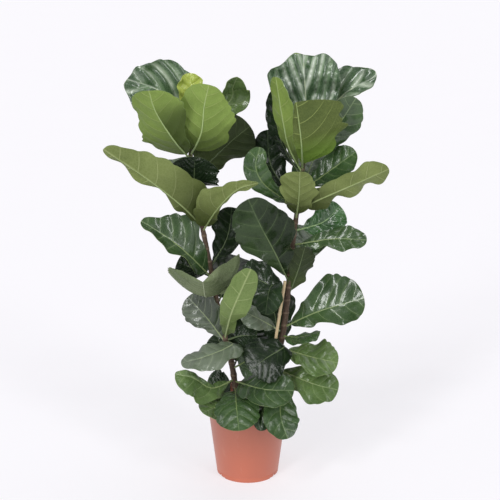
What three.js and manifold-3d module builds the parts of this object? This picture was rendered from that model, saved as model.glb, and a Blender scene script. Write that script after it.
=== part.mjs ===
// Potted fiddle leaf fig: two leafy stems and a bamboo cane standing in a soil-filled nursery pot.
// Millimetres, +Z up, front at -Y. The origin is the middle of the pot's base, on the ground.
import * as THREE from 'three';
import { mergeVertices } from 'three/addons/utils/BufferGeometryUtils.js';
import Module from 'manifold-3d';

const wasm = await Module();
wasm.setup();

// Driving dimensions
const POT_HEIGHT = 190;
const POT_BASE_RADIUS = 74;
const POT_RIM_RADIUS = 104.5;
const POT_WALL = 2.4;
const RIM_BAND = 22;
const RIM_OVERHANG = 8;
const SOIL_DEPTH_BELOW_RIM = 24;
const SOIL_CROWN = 4;
const POT_SIDES = 40;
const POT_FOOT_CHAMFER = 2;
const POT_FLOOR_THICKNESS = 3;
const RIM_TAPER = 2;
const LIP_FLARE = 0.6;
const LIP_HEIGHT = 1.5;
const SOIL_EDGE_GAP = 0.4;
const SOIL_SHOULDER = { reach: 0.7, rise: 0.6 };
const STEM_SIDES = 8;
const STEM_RING_STEP = 31;
const CANE_RADIUS = 3.7;
const CANE_JOINT_SPACING = 88;
const CANE_JOINT_SWELL = 0.8;
const CANE_JOINT_REACH = 4;
const CLEARANCE = 0.3;

// Low arches under the pot's foot and the drain notch in the middle of each, in degrees round from +X
const FOOT_ARCH = { width: 34, height: 2.4, depth: 14 };
const DRAIN_NOTCH = { width: 7, height: 7, depth: 9 };
const ARCH_ANGLES = [30, 150, 210, 330];

// Leaf sizes shared by every leaf
const STALK_LENGTH = 22;
const STALK_RADIUS = 2.3;
const STALK_EDGE = 1.8;
const BLADE_THICKNESS = 1.0;
const MIDRIB_THICKNESS = 2.6;
const TIP_WIDTH = 5;
const BLADE_STATIONS = [0, 0.08, 0.18, 0.3, 0.42, 0.54, 0.66, 0.78, 0.88, 0.95, 1];
const BLADE_COLUMNS = 4;
const WIDEST_PLACE = 0.65;
const SIDE_PLACES = [0.1, 0.3, 0.5, 0.7, 0.9];
const WAIST_PLACE = 0.36;
const WAIST_DEPTH = 0.18;
const WAIST_LENGTH = 0.13;
const SHOULDER_ROUNDNESS = 0.4;

// The blade spreads out of its stalk over this share of its length, and is framed from this share of it
const SPREAD_SHARE = 0.18;
const FACE_SHARE = 0.55;

// How the edge waves grow across the blade, lag on its left side (radians) and fade towards its tip
const WAVE_GROWTH = 1.5;
const WAVE_LAG = 1.9;
const WAVE_FADE = 6;

// Stem routes through the middle of each trunk, with the radius at the foot and at the top
const STEMS = {
  left: {
    route: [[-20, -4, 80], [-26, -4, 190], [-38, -4, 280], [-53, -3, 341], [-68, 0, 408],
      [-87, 0, 518], [-100, 0, 590], [-117, 0, 673], [-127, 0, 742], [-128, 2, 800], [-126, 4, 842]],
    foot: 7.6,
    top: 4.5,
  },
  right: {
    route: [[34, 6, 80], [47, 5, 193], [66, 3, 275], [84, 0, 354], [95, 0, 458],
      [101, 0, 530], [108, 0, 602], [117, 0, 670], [125, 0, 742], [129, 2, 790], [131, 4, 836]],
    foot: 8.8,
    top: 4.6,
  },
};
const CANE_ROUTE = [[30, -22, 84], [46, -20, 200], [68, -18, 355], [87, -16, 484]];

// Where the bark swells at old leaf scars, up each trunk
const SCAR_SPACING = 31;
const SCAR_SWELL = 1.1;

const LEAF_GREEN = 0x35552c;
const NEW_LEAF_GREEN = 0x9db04a;
const BARK_BROWN = 0x4a3526;
const BAMBOO = 0xcdb27c;
const SOIL_BROWN = 0x2b211b;
const POT_TERRACOTTA = 0xc06a54;

// Each leaf: its stem, the height it leaves the stem, the points its midrib passes through, the way its
// upper face looks at mid blade, its width, how far its sides cup (radians, minus bends them down), and
// the height, count and start of the waves along its edges. Where a leaf is widest is a share of its
// length, and WIDEST_PLACE where it isn't given. Some leaves cup otherwise on the right, or have factors
// that widen or narrow their left and right half at SIDE_PLACES.
const LEAVES = {
  crown_back_left: {
    stem: 'left', at: 800, midrib: [[-153, 44, 868], [-202, 40, 918], [-271, 34, 944]],
    face: [0.1, -0.93, 0.35], width: 140, cup: 0.3, wave: 8, waves: 2.6, phase: 0.4, widest: 0.45,
    left: [0.8, 0.85, 0.95, 1.12, 1.2], right: [0.6, 0.95, 1.12, 1.14, 0.9],
  },
  crown_front_left: {
    stem: 'left', at: 766, midrib: [[-164, -46, 821], [-199, -68, 885], [-212, -84, 933]],
    face: [0.38, 0.84, 0.36], width: 138, cup: 0.35, wave: 5, waves: 1.6, phase: 1.1,
    left: [0.8, 0.75, 0.85, 1, 1.15], right: [2.5, 1.95, 1.3, 0.98, 0.95],
  },
  crown_front: {
    stem: 'left', at: 776, midrib: [[-102, -48, 835], [-94, -60, 897], [-83, -60, 943]],
    face: [-0.06, 0.97, 0.22], width: 120, cup: 0.3, wave: 5, waves: 1.7, phase: 2.6,
    left: [2.2, 1.75, 1.3, 1.05, 0.9], right: [1.9, 1.2, 0.98, 0.86, 0.95],
  },
  crown_new_leaf: {
    stem: 'left', at: 835, midrib: [[-126, 2, 883], [-127, 8, 960]],
    face: [0.05, -0.95, 0.3], width: 66, cup: 0.8, wave: 3, waves: 3.2, phase: 0.3,
  },
  crown_right_curl: {
    stem: 'left', at: 812, midrib: [[-42, 64, 888], [-33, 56, 923], [-23, 40, 948]],
    face: [0.62, -0.62, 0.48], width: 80, cup: 0.75, wave: 7, waves: 2.2, phase: 0.9,
  },
  crown_right_dark: {
    stem: 'left', at: 728, midrib: [[-88, 20, 756], [-40, 20, 802], [6, 30, 838]],
    face: [-0.26, 0.93, 0.28], width: 162, cup: 0.2, wave: 4, waves: 1.8, phase: 0.2, widest: 0.5,
    left: [0.5, 0.5, 0.66, 0.85, 1], right: [1, 1, 1, 1, 1],
  },
  collar_left: {
    stem: 'left', at: 612, midrib: [[-146, -54, 671], [-214, -84, 735], [-313, -96, 808]],
    face: [0.22, 0.9, 0.36], width: 130, cup: 0.35, wave: 8, waves: 2.6, phase: 0.6, widest: 0.4,
    left: [1.2, 1.35, 1.2, 0.95, 0.85], right: [0.3, 0.24, 0.24, 0.3, 0.4],
  },
  collar_right: {
    stem: 'left', at: 600, midrib: [[-67, -70, 668], [-23, -90, 716], [24, -96, 733]],
    face: [-0.3, 0.85, 0.44], width: 72, cup: 0.25, wave: 4, waves: 1.6, phase: 0.3, widest: 0.36,
    left: [0.6, 0.3, 0.28, 0.35, 0.5], right: [1, 1.5, 1.9, 1, 0.6],
  },
  cup_leaf: {
    stem: 'left', at: 690, midrib: [[-120, -18, 728], [-117, -22, 777]],
    face: [0, -0.95, 0.3], width: 118, cup: 0.45, wave: 3, waves: 1.4, phase: 0.5, widest: 0.5,
    left: [1.5, 1.2, 1, 1, 1], right: [1.5, 1.2, 1, 1, 1],
  },
  shoulder_left: {
    stem: 'left', at: 486, midrib: [[-136, -28, 552], [-180, -38, 593], [-240, -42, 634]],
    face: [-0.3, -0.7, 0.66], width: 116, cup: 1, wave: 4, waves: 2.2, phase: 1, widest: 0.52,
    rightCup: 0.15, left: [0.6, 0.5, 0.5, 0.5, 0.5], right: [0.8, 0.96, 1.38, 1.05, 0.6],
  },
  boat_left: {
    stem: 'left', at: 470, midrib: [[-95, -38, 453], [-99, -112, 511]],
    face: [0.05, -0.15, 0.98], width: 206, cup: 1.9, wave: 4, waves: 1.8, phase: 0.2, widest: 0.5,
    rightCup: 0.9, left: [1, 1.3, 1.42, 1.35, 1.15], right: [0.9, 1, 1.05, 1.05, 0.95],
  },
  back_left: {
    stem: 'left', at: 488, midrib: [[-130, 30, 502], [-166, 40, 512]],
    face: [-0.2, -0.75, 0.63], width: 74, cup: 0.2, wave: 3, waves: 1.8, phase: 0.4,
  },
  bottom_back_left: {
    stem: 'left', at: 240, midrib: [[-56, 18, 210], [-98, 31, 210]],
    face: [-0.1, -0.8, 0.6], width: 80, cup: 0.2, wave: 4, waves: 1.8, phase: 0.4,
    left: [1.7, 1.3, 1, 1, 1], right: [1.8, 1.4, 1, 1, 1],
  },
  dark_right: {
    stem: 'left', at: 512, midrib: [[-48, 34, 574], [-36, 42, 646]],
    face: [0.25, -0.86, 0.44], width: 86, cup: 0.25, wave: 5, waves: 2, phase: 0.1,
  },
  hanging_left: {
    stem: 'left', at: 326, midrib: [[-94, -14, 393], [-139, 2, 440]],
    face: [-0.45, -0.8, 0.4], width: 88, cup: 0.25, wave: 4, waves: 2, phase: 0.9, widest: 0.55,
    left: [0.5, 0.65, 0.85, 1, 1.05], right: [0.8, 1, 1.15, 1.1, 1.1],
  },
  light_centre: {
    stem: 'left', at: 340, midrib: [[-36, -124, 440], [-12, -138, 503], [8, -142, 550]],
    face: [0.1, 0.93, 0.35], width: 70, cup: 0.3, wave: 5, waves: 2.2, phase: 0.5, widest: 0.5,
    left: [0.55, 0.68, 0.88, 1.05, 1.35], right: [0.6, 0.72, 0.85, 0.98, 1.1],
  },
  lower_left_silver: {
    stem: 'left', at: 330, midrib: [[-36, -50, 340], [-86, -80, 326], [-152, -86, 307]],
    face: [-0.1, -0.42, 0.9], width: 74, cup: -0.2, wave: 4, waves: 2.2, phase: 0.3, widest: 0.5,
    left: [1, 1.3, 1.3, 1.1, 1], right: [1, 1, 1, 1, 1],
  },
  lower_left_green: {
    stem: 'left', at: 236, midrib: [[-83, -58, 236], [-125, -84, 271], [-166, -96, 286]],
    face: [-0.15, -0.62, 0.77], width: 92, cup: 0.2, wave: 5, waves: 2.4, phase: 1.2,
    left: [0.8, 1.05, 1.15, 1.1, 1], right: [0.6, 0.3, 0.25, 0.3, 0.35],
  },
  small_left_back: {
    stem: 'left', at: 318, midrib: [[-51, 20, 299], [-78, 34, 337]],
    face: [-0.1, -0.85, 0.5], width: 66, cup: 0.2, wave: 4, waves: 1.6, phase: 0.4,
  },
  bottom_centre: {
    stem: 'left', at: 216, midrib: [[-26, -92, 210], [-19, -146, 167]],
    face: [0.05, -0.7, 0.71], width: 104, cup: 0.15, wave: 4, waves: 1.8, phase: 0.6,
  },
  bottom_left_wing: {
    stem: 'left', at: 203, midrib: [[-62, -70, 201], [-103, -100, 191]],
    face: [-0.25, -0.6, 0.76], width: 92, cup: 0.2, wave: 4, waves: 1.8, phase: 0.2,
  },
  lower_centre: {
    stem: 'left', at: 232, midrib: [[36, -92, 247], [107, -100, 246]],
    face: [0.1, -0.66, 0.74], width: 100, cup: 0.25, wave: 5, waves: 2, phase: 1.4,
    left: [2.2, 1.45, 1.05, 1, 1], right: [1.3, 1.1, 1, 1, 1],
  },
  centre_round: {
    stem: 'left', at: 334, midrib: [[-15, -8, 347], [22, -14, 349]],
    face: [0.2, -0.75, 0.63], width: 78, cup: 0.2, wave: 4, waves: 1.8, phase: 0.6,
  },
  centre_right: {
    stem: 'left', at: 264, midrib: [[-10, -22, 285], [20, -28, 309]],
    face: [0.2, -0.7, 0.68], width: 88, cup: 0.2, wave: 4, waves: 2, phase: 0.8,
    left: [1.2, 1, 1, 1, 1], right: [1.9, 1.4, 1, 1, 1],
  },
  under_bottom_centre: {
    stem: 'right', at: 200, midrib: [[30, -14, 204], [34, -92, 197], [31, -126, 158]],
    face: [0.1, -0.7, 0.7], width: 48, cup: 0.1, wave: 3, waves: 1.6, phase: 0.2,
  },
  right_crown_back: {
    stem: 'right', at: 800, midrib: [[133, 42, 877], [130, 42, 932], [125, 38, 999]],
    face: [0.05, -0.95, 0.3], width: 176, cup: 0.3, wave: 10, waves: 3.1, phase: 0.4, widest: 0.62,
    left: [1.2, 1.15, 1.05, 0.97, 1.1], right: [1, 1, 0.95, 0.93, 1.1],
  },
  right_crown_back_right: {
    stem: 'right', at: 776, midrib: [[208, 68, 892], [293, 50, 949]],
    face: [-0.22, -0.72, 0.66], width: 128, cup: 0.4, wave: 8, waves: 2.8, phase: 1.3,
    left: [1, 1, 1, 0.9, 0.75], right: [1, 1, 0.8, 0.55, 0.5],
  },
  right_crown_side: {
    stem: 'right', at: 752, midrib: [[199, 0, 838], [242, -6, 907]],
    face: [0.42, -0.84, 0.34], width: 84, cup: 0.3, wave: 3, waves: 1.8, phase: 0.9,
  },
  right_front_strip: {
    stem: 'right', at: 735, midrib: [[94, -22, 798], [80, -38, 857], [62, -50, 959]],
    face: [0.8, 0.56, 0.24], width: 80, cup: 0.15, wave: 3, waves: 1.6, phase: 0.5,
  },
  right_dark_strip: {
    stem: 'right', at: 726, midrib: [[82, 22, 794], [66, 13, 850], [60, 4, 922]],
    face: [-0.8, -0.56, 0.2], width: 58, cup: 0.7, wave: 4, waves: 1.8, phase: 0.4,
  },
  right_front: {
    stem: 'right', at: 744, midrib: [[118, -66, 823], [106, -80, 908]],
    face: [-0.1, 0.96, 0.27], width: 196, cup: 0.2, wave: 4, waves: 1.6, phase: 0.9,
    left: [1.5, 1.3, 1.14, 0.96, 1.25], right: [0.2, 0.22, 0.2, 0.14, 0.12],
  },
  right_front_side: {
    stem: 'right', at: 690, midrib: [[189, -16, 746], [243, -26, 789]],
    face: [-0.35, -0.75, 0.56], width: 78, cup: 0.35, wave: 4, waves: 2, phase: 0.3,
  },
  right_collar: {
    stem: 'right', at: 650, midrib: [[159, -40, 682], [223, -66, 717], [313, -66, 758]],
    face: [-0.2, 0.85, 0.5], width: 120, cup: 0.4, wave: 8, waves: 2.6, phase: 0.2, widest: 0.36,
    left: [0.7, 0.6, 0.6, 0.75, 1.05], right: [0.9, 0.65, 0.55, 0.75, 1],
  },
  glossy_left: {
    stem: 'right', at: 655, midrib: [[42, -40, 714], [19, -52, 760], [28, -44, 803]],
    face: [-0.35, -0.88, 0.3], width: 58, cup: 0.35, wave: 3, waves: 1.6, phase: 0.4,
  },
  between_crowns: {
    stem: 'right', at: 668, midrib: [[57, 56, 736], [45, 62, 824]],
    face: [0.05, -0.95, 0.3], width: 78, cup: 0.2, wave: 4, waves: 1.8, phase: 0.6,
  },
  big_left: {
    stem: 'right', at: 476, midrib: [[63, -34, 557], [29, -52, 627], [2, -50, 686]],
    face: [-0.3, -0.9, 0.3], width: 122, cup: 0.4, wave: 8, waves: 2.4, phase: 0.7,
    left: [0.6, 0.8, 1, 1, 1], right: [0.6, 1, 1.2, 1.1, 1],
  },
  vivid_right: {
    stem: 'right', at: 600, midrib: [[174, 10, 618], [213, 16, 655]],
    face: [0.35, -0.8, 0.48], width: 82, cup: 0.3, wave: 7, waves: 3.2, phase: 0.5,
  },
  small_right: {
    stem: 'right', at: 566, midrib: [[197, -28, 588], [271, -42, 589]],
    face: [0.1, -0.78, 0.62], width: 60, cup: 0.2, wave: 5, waves: 2.6, phase: 0.7,
  },
  right_collar_lobe: {
    stem: 'right', at: 628, midrib: [[115, -60, 693], [115, -98, 758]],
    face: [0.05, 0.9, 0.42], width: 96, cup: 0.2, wave: 5, waves: 1.8, phase: 0.5,
    left: [1.2, 1.05, 0.95, 0.75, 0.7], right: [1.2, 1, 0.9, 0.9, 1.1],
  },
  dark_under: {
    stem: 'right', at: 436, midrib: [[117, -8, 508], [132, -14, 565]],
    face: [-0.3, 0.85, 0.44], width: 86, cup: 0.2, wave: 5, waves: 1.8, phase: 0.2,
    left: [0.8, 1, 1, 0.85, 0.8], right: [0.7, 0.6, 0.7, 0.9, 0.9],
  },
  big_right: {
    stem: 'right', at: 366, midrib: [[163, -42, 418], [267, -54, 455]],
    face: [0.1, -0.78, 0.62], width: 112, cup: 0.3, wave: 8, waves: 2.6, phase: 0.2,
    left: [0.9, 1.1, 1.3, 1.35, 1.3], right: [0.8, 0.75, 0.75, 0.85, 1.1],
  },
  sheen_left: {
    stem: 'right', at: 352, midrib: [[56, -2, 370], [20, -24, 398], [-18, -30, 420]],
    face: [-0.2, -0.6, 0.77], width: 64, cup: -0.35, wave: 4, waves: 2, phase: 0.4,
  },
  edge_on_right: {
    stem: 'right', at: 344, midrib: [[119, -56, 361], [167, -66, 377]],
    face: [0.05, -0.2, 0.97], width: 66, cup: -0.5, wave: 4, waves: 1.8, phase: 0.3,
  },
  lower_right_upper: {
    stem: 'right', at: 314, midrib: [[149, -36, 305], [211, -46, 294]],
    face: [0.15, -0.6, 0.78], width: 100, cup: 0.15, wave: 6, waves: 2.6, phase: 0.8,
  },
  lower_right_lower: {
    stem: 'right', at: 262, midrib: [[155, -56, 245], [211, -68, 235]],
    face: [0.2, -0.72, 0.66], width: 102, cup: 0.2, wave: 6, waves: 2.6, phase: 0.1,
  },
  bottom_right: {
    stem: 'right', at: 232, midrib: [[74, -60, 220], [77, -112, 184], [92, -134, 142]],
    face: [0.3, -0.68, 0.67], width: 86, cup: 0.15, wave: 5, waves: 2.2, phase: 0.6,
  },
  dark_lower_left: {
    stem: 'right', at: 322, midrib: [[84, -40, 330], [42, -66, 312], [6, -72, 284]],
    face: [-0.15, -0.85, 0.5], width: 112, cup: 0.15, wave: 5, waves: 1.8, phase: 0.4,
  },
  scalloped: {
    stem: 'right', at: 434, midrib: [[34, 30, 470], [-18, 40, 475]],
    face: [-0.2, -0.82, 0.54], width: 84, cup: 0.2, wave: 5, waves: 3, phase: 0.4,
  },
  grey_sheen: {
    stem: 'right', at: 448, midrib: [[64, 4, 468], [50, -46, 470], [42, -66, 420]],
    face: [-0.4, -0.82, 0.4], width: 76, cup: 0.2, wave: 4, waves: 1.8, phase: 0.7,
  },
  rear_left_upper: {
    stem: 'left', at: 655, midrib: [[-150, 80, 705], [-178, 150, 738]],
    face: [0.15, -0.55, 0.82], width: 124, cup: 0.3, wave: 6, waves: 2.2, phase: 0.4,
  },
  rear_left_middle: {
    stem: 'left', at: 420, midrib: [[-44, 60, 470], [-10, 126, 498]],
    face: [0, -0.62, 0.78], width: 124, cup: 0.25, wave: 6, waves: 2.2, phase: 1,
  },
  rear_left_low: {
    stem: 'left', at: 262, midrib: [[-4, 52, 318], [30, 112, 350]],
    face: [0, -0.6, 0.8], width: 124, cup: 0.2, wave: 5, waves: 2.4, phase: 0.2,
  },
  rear_right_upper: {
    stem: 'right', at: 690, midrib: [[150, 78, 740], [176, 150, 782]],
    face: [-0.1, -0.6, 0.79], width: 128, cup: 0.3, wave: 6, waves: 2.2, phase: 0.9,
  },
  rear_right_middle: {
    stem: 'right', at: 505, midrib: [[140, 76, 545], [176, 146, 566]],
    face: [-0.1, -0.5, 0.86], width: 118, cup: 0.25, wave: 6, waves: 2.2, phase: 0.3,
  },
  rear_right_low: {
    stem: 'right', at: 300, midrib: [[66, 66, 372], [40, 124, 424]],
    face: [0, -0.65, 0.76], width: 116, cup: 0.2, wave: 6, waves: 2.4, phase: 0.7,
  },
};

/** A geometry of the given points, whose triangles are given by their points' places in the list. */
function closedGeometry(points, triangles) {
  const numbers = points.flatMap((p) => p.toArray());
  const geometry = new THREE.BufferGeometry();
  geometry.setAttribute('position', new THREE.Float32BufferAttribute(numbers, 3));
  geometry.setIndex(triangles);
  return geometry;
}

/** Turns a closed geometry into a solid that can be joined and cut. */
function solidOf(geometry) {
  const bare = geometry.clone();
  bare.deleteAttribute('normal');
  bare.deleteAttribute('uv');
  const merged = mergeVertices(bare, 1e-4);
  const vertProperties = new Float32Array(merged.getAttribute('position').array);
  const triVerts = new Uint32Array(merged.getIndex().array);
  return new wasm.Manifold(new wasm.Mesh({ numProp: 3, vertProperties, triVerts }));
}

/** Turns a solid back into a geometry. */
function geometryOf(solid) {
  const mesh = solid.getMesh();
  const geometry = new THREE.BufferGeometry();
  geometry.setAttribute('position', new THREE.BufferAttribute(new Float32Array(mesh.vertProperties), 3));
  geometry.setIndex(new THREE.BufferAttribute(new Uint32Array(mesh.triVerts), 1));
  return geometry;
}

/** The largest of the separate bodies of a solid. */
function largestBody(solid) {
  return solid.decompose().reduce((best, body) => (body.volume() > best.volume() ? body : best));
}

/** A smooth curve through points given as [x, y, z]. */
function smoothRoute(points) {
  return new THREE.CatmullRomCurve3(points.map((p) => new THREE.Vector3(...p)), false, 'catmullrom', 0.5);
}

/** The point of an upward route at a height, found by halving. */
function routeAtHeight(curve, height) {
  let low = 0;
  let high = 1;
  for (let step = 0; step < 40; step += 1) {
    const middle = (low + high) / 2;
    const below = curve.getPoint(middle).z < height;
    low = below ? middle : low;
    high = below ? high : middle;
  }
  return curve.getPoint((low + high) / 2);
}

/** An upright round trunk or cane: level rings along its route, with a flat end below and above. */
function uprightGeometry(curve, heights, radiusAt, sides) {
  const points = [];
  const triangles = [];
  heights.forEach((height) => {
    const middle = routeAtHeight(curve, height);
    const radius = radiusAt(height);
    for (let side = 0; side < sides; side += 1) {
      const turn = (2 * Math.PI * side) / sides;
      points.push(new THREE.Vector3(
        middle.x + radius * Math.cos(turn), middle.y + radius * Math.sin(turn), height,
      ));
    }
  });
  for (let ring = 0; ring + 1 < heights.length; ring += 1) {
    for (let side = 0; side < sides; side += 1) {
      const next = (side + 1) % sides;
      const a = ring * sides + side;
      const b = ring * sides + next;
      triangles.push(a, b, b + sides, a, b + sides, a + sides);
    }
  }
  const last = (heights.length - 1) * sides;
  for (let side = 1; side + 1 < sides; side += 1) {
    triangles.push(0, side + 1, side);
    triangles.push(last, last + side, last + side + 1);
  }
  return closedGeometry(points, triangles);
}

/** Heights from low to high in even steps of about the given size. */
function heightSteps(low, high, step) {
  const count = Math.max(1, Math.round((high - low) / step));
  return Array.from({ length: count + 1 }, (_, i) => low + ((high - low) * i) / count);
}

/** A trunk: it thins upward and swells a little at the old leaf scars. Extra makes it larger all round. */
function stemGeometry({ route, foot, top }, extra = 0) {
  const curve = smoothRoute(route);
  const low = route[0][2] - extra;
  const high = route[route.length - 1][2] + extra;
  const heights = heightSteps(low, high, STEM_RING_STEP);
  const radiusAt = (height) => {
    const share = (height - low) / (high - low);
    const scar = SCAR_SWELL * Math.cos((2 * Math.PI * height) / SCAR_SPACING) ** 2;
    return foot + (top - foot) * share + scar * (1 - share) + extra;
  };
  return uprightGeometry(curve, heights, radiusAt, STEM_SIDES);
}

/** The bamboo cane, a little thicker at its joints. Extra makes it larger all round. */
function caneGeometry(extra = 0) {
  const curve = smoothRoute(CANE_ROUTE);
  const low = CANE_ROUTE[0][2] - extra;
  const high = CANE_ROUTE[CANE_ROUTE.length - 1][2] + extra;
  const joints = heightSteps(low, high, CANE_JOINT_SPACING).slice(1, -1);
  const beside = joints.flatMap((z) => [z - CANE_JOINT_REACH, z, z + CANE_JOINT_REACH]);
  const radiusAt = (z) => CANE_RADIUS + (joints.includes(z) ? CANE_JOINT_SWELL : 0) + extra;
  return uprightGeometry(curve, [low, ...beside, high], radiusAt, STEM_SIDES);
}

/** Half the outline's width at a share of the blade's length, as a share of half the leaf's width. */
function outlineAt(share, widest) {
  const skew = Math.log(0.5) / Math.log(widest);
  const swell = Math.sin(Math.PI * Math.min(share, 1) ** skew) ** SHOULDER_ROUNDNESS;
  const waist = 1 - WAIST_DEPTH * Math.exp(-(((share - WAIST_PLACE) / WAIST_LENGTH) ** 2));
  return swell * waist;
}

/** A side's factor at a share of the blade's length, eased between those given at SIDE_PLACES. */
function sideFactor(factors, share) {
  if (!factors) return 1;
  const after = SIDE_PLACES.findIndex((place) => share < place);
  if (after === 0) return factors[0];
  if (after < 0) return factors[factors.length - 1];
  const part = (share - SIDE_PLACES[after - 1]) / (SIDE_PLACES[after] - SIDE_PLACES[after - 1]);
  const ease = 0.5 - 0.5 * Math.cos(Math.PI * part);
  return THREE.MathUtils.lerp(factors[after - 1], factors[after], ease);
}

/**
 * Frames along a midrib: point, side and up. At mid blade up is as near the leaf's face as it can be,
 * and from there it follows the midrib without turning about it.
 */
function midribFrames(curve, stations, face) {
  const forward = stations.map((station) => curve.getTangentAt(station));
  const across = (vector, along) => vector.clone().addScaledVector(along, -vector.dot(along)).normalize();
  const middle = Math.floor(stations.length * FACE_SHARE);
  const up = [];
  up[middle] = across(new THREE.Vector3(...face), forward[middle]);
  for (let i = middle + 1; i < stations.length; i += 1) up[i] = across(up[i - 1], forward[i]);
  for (let i = middle - 1; i >= 0; i -= 1) up[i] = across(up[i + 1], forward[i]);
  return stations.map((station, i) => {
    const side = new THREE.Vector3().crossVectors(forward[i], up[i]);
    return { point: curve.getPointAt(station), up: up[i], side };
  });
}

/** A blade's section at a share of its length: its two half widths, and half its thickness. */
function bladeSection(leaf, share, isStalk) {
  const outline = (leaf.width / 2) * outlineAt(share, leaf.widest ?? WIDEST_PLACE);
  const spread = Math.min(1, share / SPREAD_SHARE);
  const least = isStalk ? STALK_RADIUS : TIP_WIDTH / 2;
  return {
    spread,
    leftWidth: Math.max(outline * sideFactor(leaf.left, share), least),
    rightWidth: Math.max(outline * sideFactor(leaf.right, share), least),
    edge: THREE.MathUtils.lerp(STALK_EDGE, BLADE_THICKNESS, spread) / 2,
    rib: THREE.MathUtils.lerp(STALK_RADIUS, (MIDRIB_THICKNESS / 2) * (1 - share / 2), spread),
  };
}

/** The two points of a leaf's upper and lower face at a place across one of its sections. */
function facePoints(leaf, frame, section, share, across) {
  const { spread, edge, rib } = section;
  const halfWidth = across < 0 ? section.leftWidth : section.rightWidth;
  const cup = across < 0 ? leaf.cup : (leaf.rightCup ?? leaf.cup);
  const bend = cup * spread * across;
  const flat = Math.abs(bend) < 1e-6;
  const reach = flat ? halfWidth * across : (halfWidth * across * Math.sin(bend)) / bend;
  const lift = flat ? 0 : (halfWidth * across * (1 - Math.cos(bend))) / bend;
  const turn = 2 * Math.PI * leaf.waves * share + leaf.phase + (across < 0 ? WAVE_LAG : 0);
  const swing = leaf.wave * spread * Math.abs(across) ** WAVE_GROWTH;
  const wave = swing * Math.sin(turn) * Math.min(1, WAVE_FADE * (1 - share));
  const half = edge + (rib - edge) * (1 - Math.abs(across)) ** 2;
  return [wave + half, wave - half].map((height) => frame.point.clone()
    .addScaledVector(frame.side, reach - height * Math.sin(bend))
    .addScaledVector(frame.up, lift + height * Math.cos(bend)));
}

/** A leaf: a round stalk that spreads into a thin fiddle-shaped blade, cupped and waved along its edges. */
function leafGeometry(leaf) {
  const stem = smoothRoute(STEMS[leaf.stem].route);
  const curve = smoothRoute([routeAtHeight(stem, leaf.at).toArray(), ...leaf.midrib]);
  const stalk = STALK_LENGTH / curve.getLength();
  const stations = [0, ...BLADE_STATIONS.map((share) => stalk + (1 - stalk) * share)];
  const frames = midribFrames(curve, stations, leaf.face);
  const columns = BLADE_COLUMNS + 1;
  const points = frames.flatMap((frame, ring) => {
    const share = ring === 0 ? 0 : BLADE_STATIONS[ring - 1];
    const section = bladeSection(leaf, share, ring < 2);
    const pairs = Array.from({ length: columns }, (_, column) => (
      facePoints(leaf, frame, section, share, (2 * column) / BLADE_COLUMNS - 1)));
    return [...pairs.map(([upper]) => upper), ...pairs.map(([, lower]) => lower)];
  });
  return closedGeometry(points, leafTriangles(frames.length, columns));
}

/** The two triangles between four corners in turn, facing the other way if turned. */
function quad(a, b, c, d, turned) {
  return turned ? [a, c, b, a, d, c] : [a, b, c, a, c, d];
}

/** Triangles of a leaf, split the same way on the upper and the lower face. */
function leafTriangles(rings, columns) {
  const triangles = [];
  const upper = (ring, column) => ring * 2 * columns + column;
  const lower = (ring, column) => upper(ring, column) + columns;
  for (let ring = 0; ring + 1 < rings; ring += 1) {
    for (let column = 0; column + 1 < columns; column += 1) {
      const corners = [[ring, column], [ring, column + 1], [ring + 1, column + 1], [ring + 1, column]];
      triangles.push(...quad(...corners.map((corner) => upper(...corner)), false));
      triangles.push(...quad(...corners.map((corner) => lower(...corner)), true));
    }
    [[0, true], [columns - 1, false]].forEach(([column, turned]) => triangles.push(...quad(
      upper(ring, column), lower(ring, column), lower(ring + 1, column), upper(ring + 1, column), turned,
    )));
  }
  [[0, false], [rings - 1, true]].forEach(([ring, turned]) => {
    for (let column = 0; column + 1 < columns; column += 1) {
      triangles.push(...quad(
        upper(ring, column), lower(ring, column), lower(ring, column + 1), upper(ring, column + 1), turned,
      ));
    }
  });
  return triangles;
}

/** A profile of [radius, height] points turned round the upright axis. */
function turnedSolid(profile) {
  const turned = new THREE.LatheGeometry(profile.map(([r, z]) => new THREE.Vector2(r, z)), POT_SIDES);
  turned.rotateX(Math.PI / 2);
  return solidOf(turned);
}

/** A block across the pot's foot at an angle round it, from below the ground up to its height. */
function footBlock({ width, height, depth }, degrees) {
  const block = new THREE.BoxGeometry(depth, width, 2 * height);
  block.translate(POT_BASE_RADIUS, 0, 0);
  block.rotateZ(THREE.MathUtils.degToRad(degrees));
  return solidOf(block);
}

/** The pot: one turned wall with a rim band, raised at the foot by low arches with drain notches. */
function potGeometry() {
  const bandFoot = POT_HEIGHT - RIM_BAND;
  const bodyTop = POT_RIM_RADIUS - RIM_OVERHANG - RIM_TAPER;
  const wall = turnedSolid([
    [0, 0],
    [POT_BASE_RADIUS - POT_FOOT_CHAMFER, 0],
    [POT_BASE_RADIUS, POT_FOOT_CHAMFER],
    [bodyTop, bandFoot],
    [POT_RIM_RADIUS - RIM_TAPER, bandFoot + 1],
    [POT_RIM_RADIUS - LIP_FLARE, POT_HEIGHT - LIP_HEIGHT],
    [POT_RIM_RADIUS, POT_HEIGHT],
    [POT_RIM_RADIUS - POT_WALL, POT_HEIGHT],
    [POT_RIM_RADIUS - POT_WALL - RIM_TAPER, bandFoot + 1 + POT_WALL],
    [bodyTop - POT_WALL, bandFoot + POT_WALL],
    [POT_BASE_RADIUS - POT_WALL, POT_FLOOR_THICKNESS],
    [0, POT_FLOOR_THICKNESS],
  ]);
  const cutsAt = (degrees) => [footBlock(FOOT_ARCH, degrees), footBlock(DRAIN_NOTCH, degrees)];
  return geometryOf(ARCH_ANGLES.flatMap(cutsAt).reduce((pot, cut) => pot.subtract(cut), wall));
}

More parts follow.
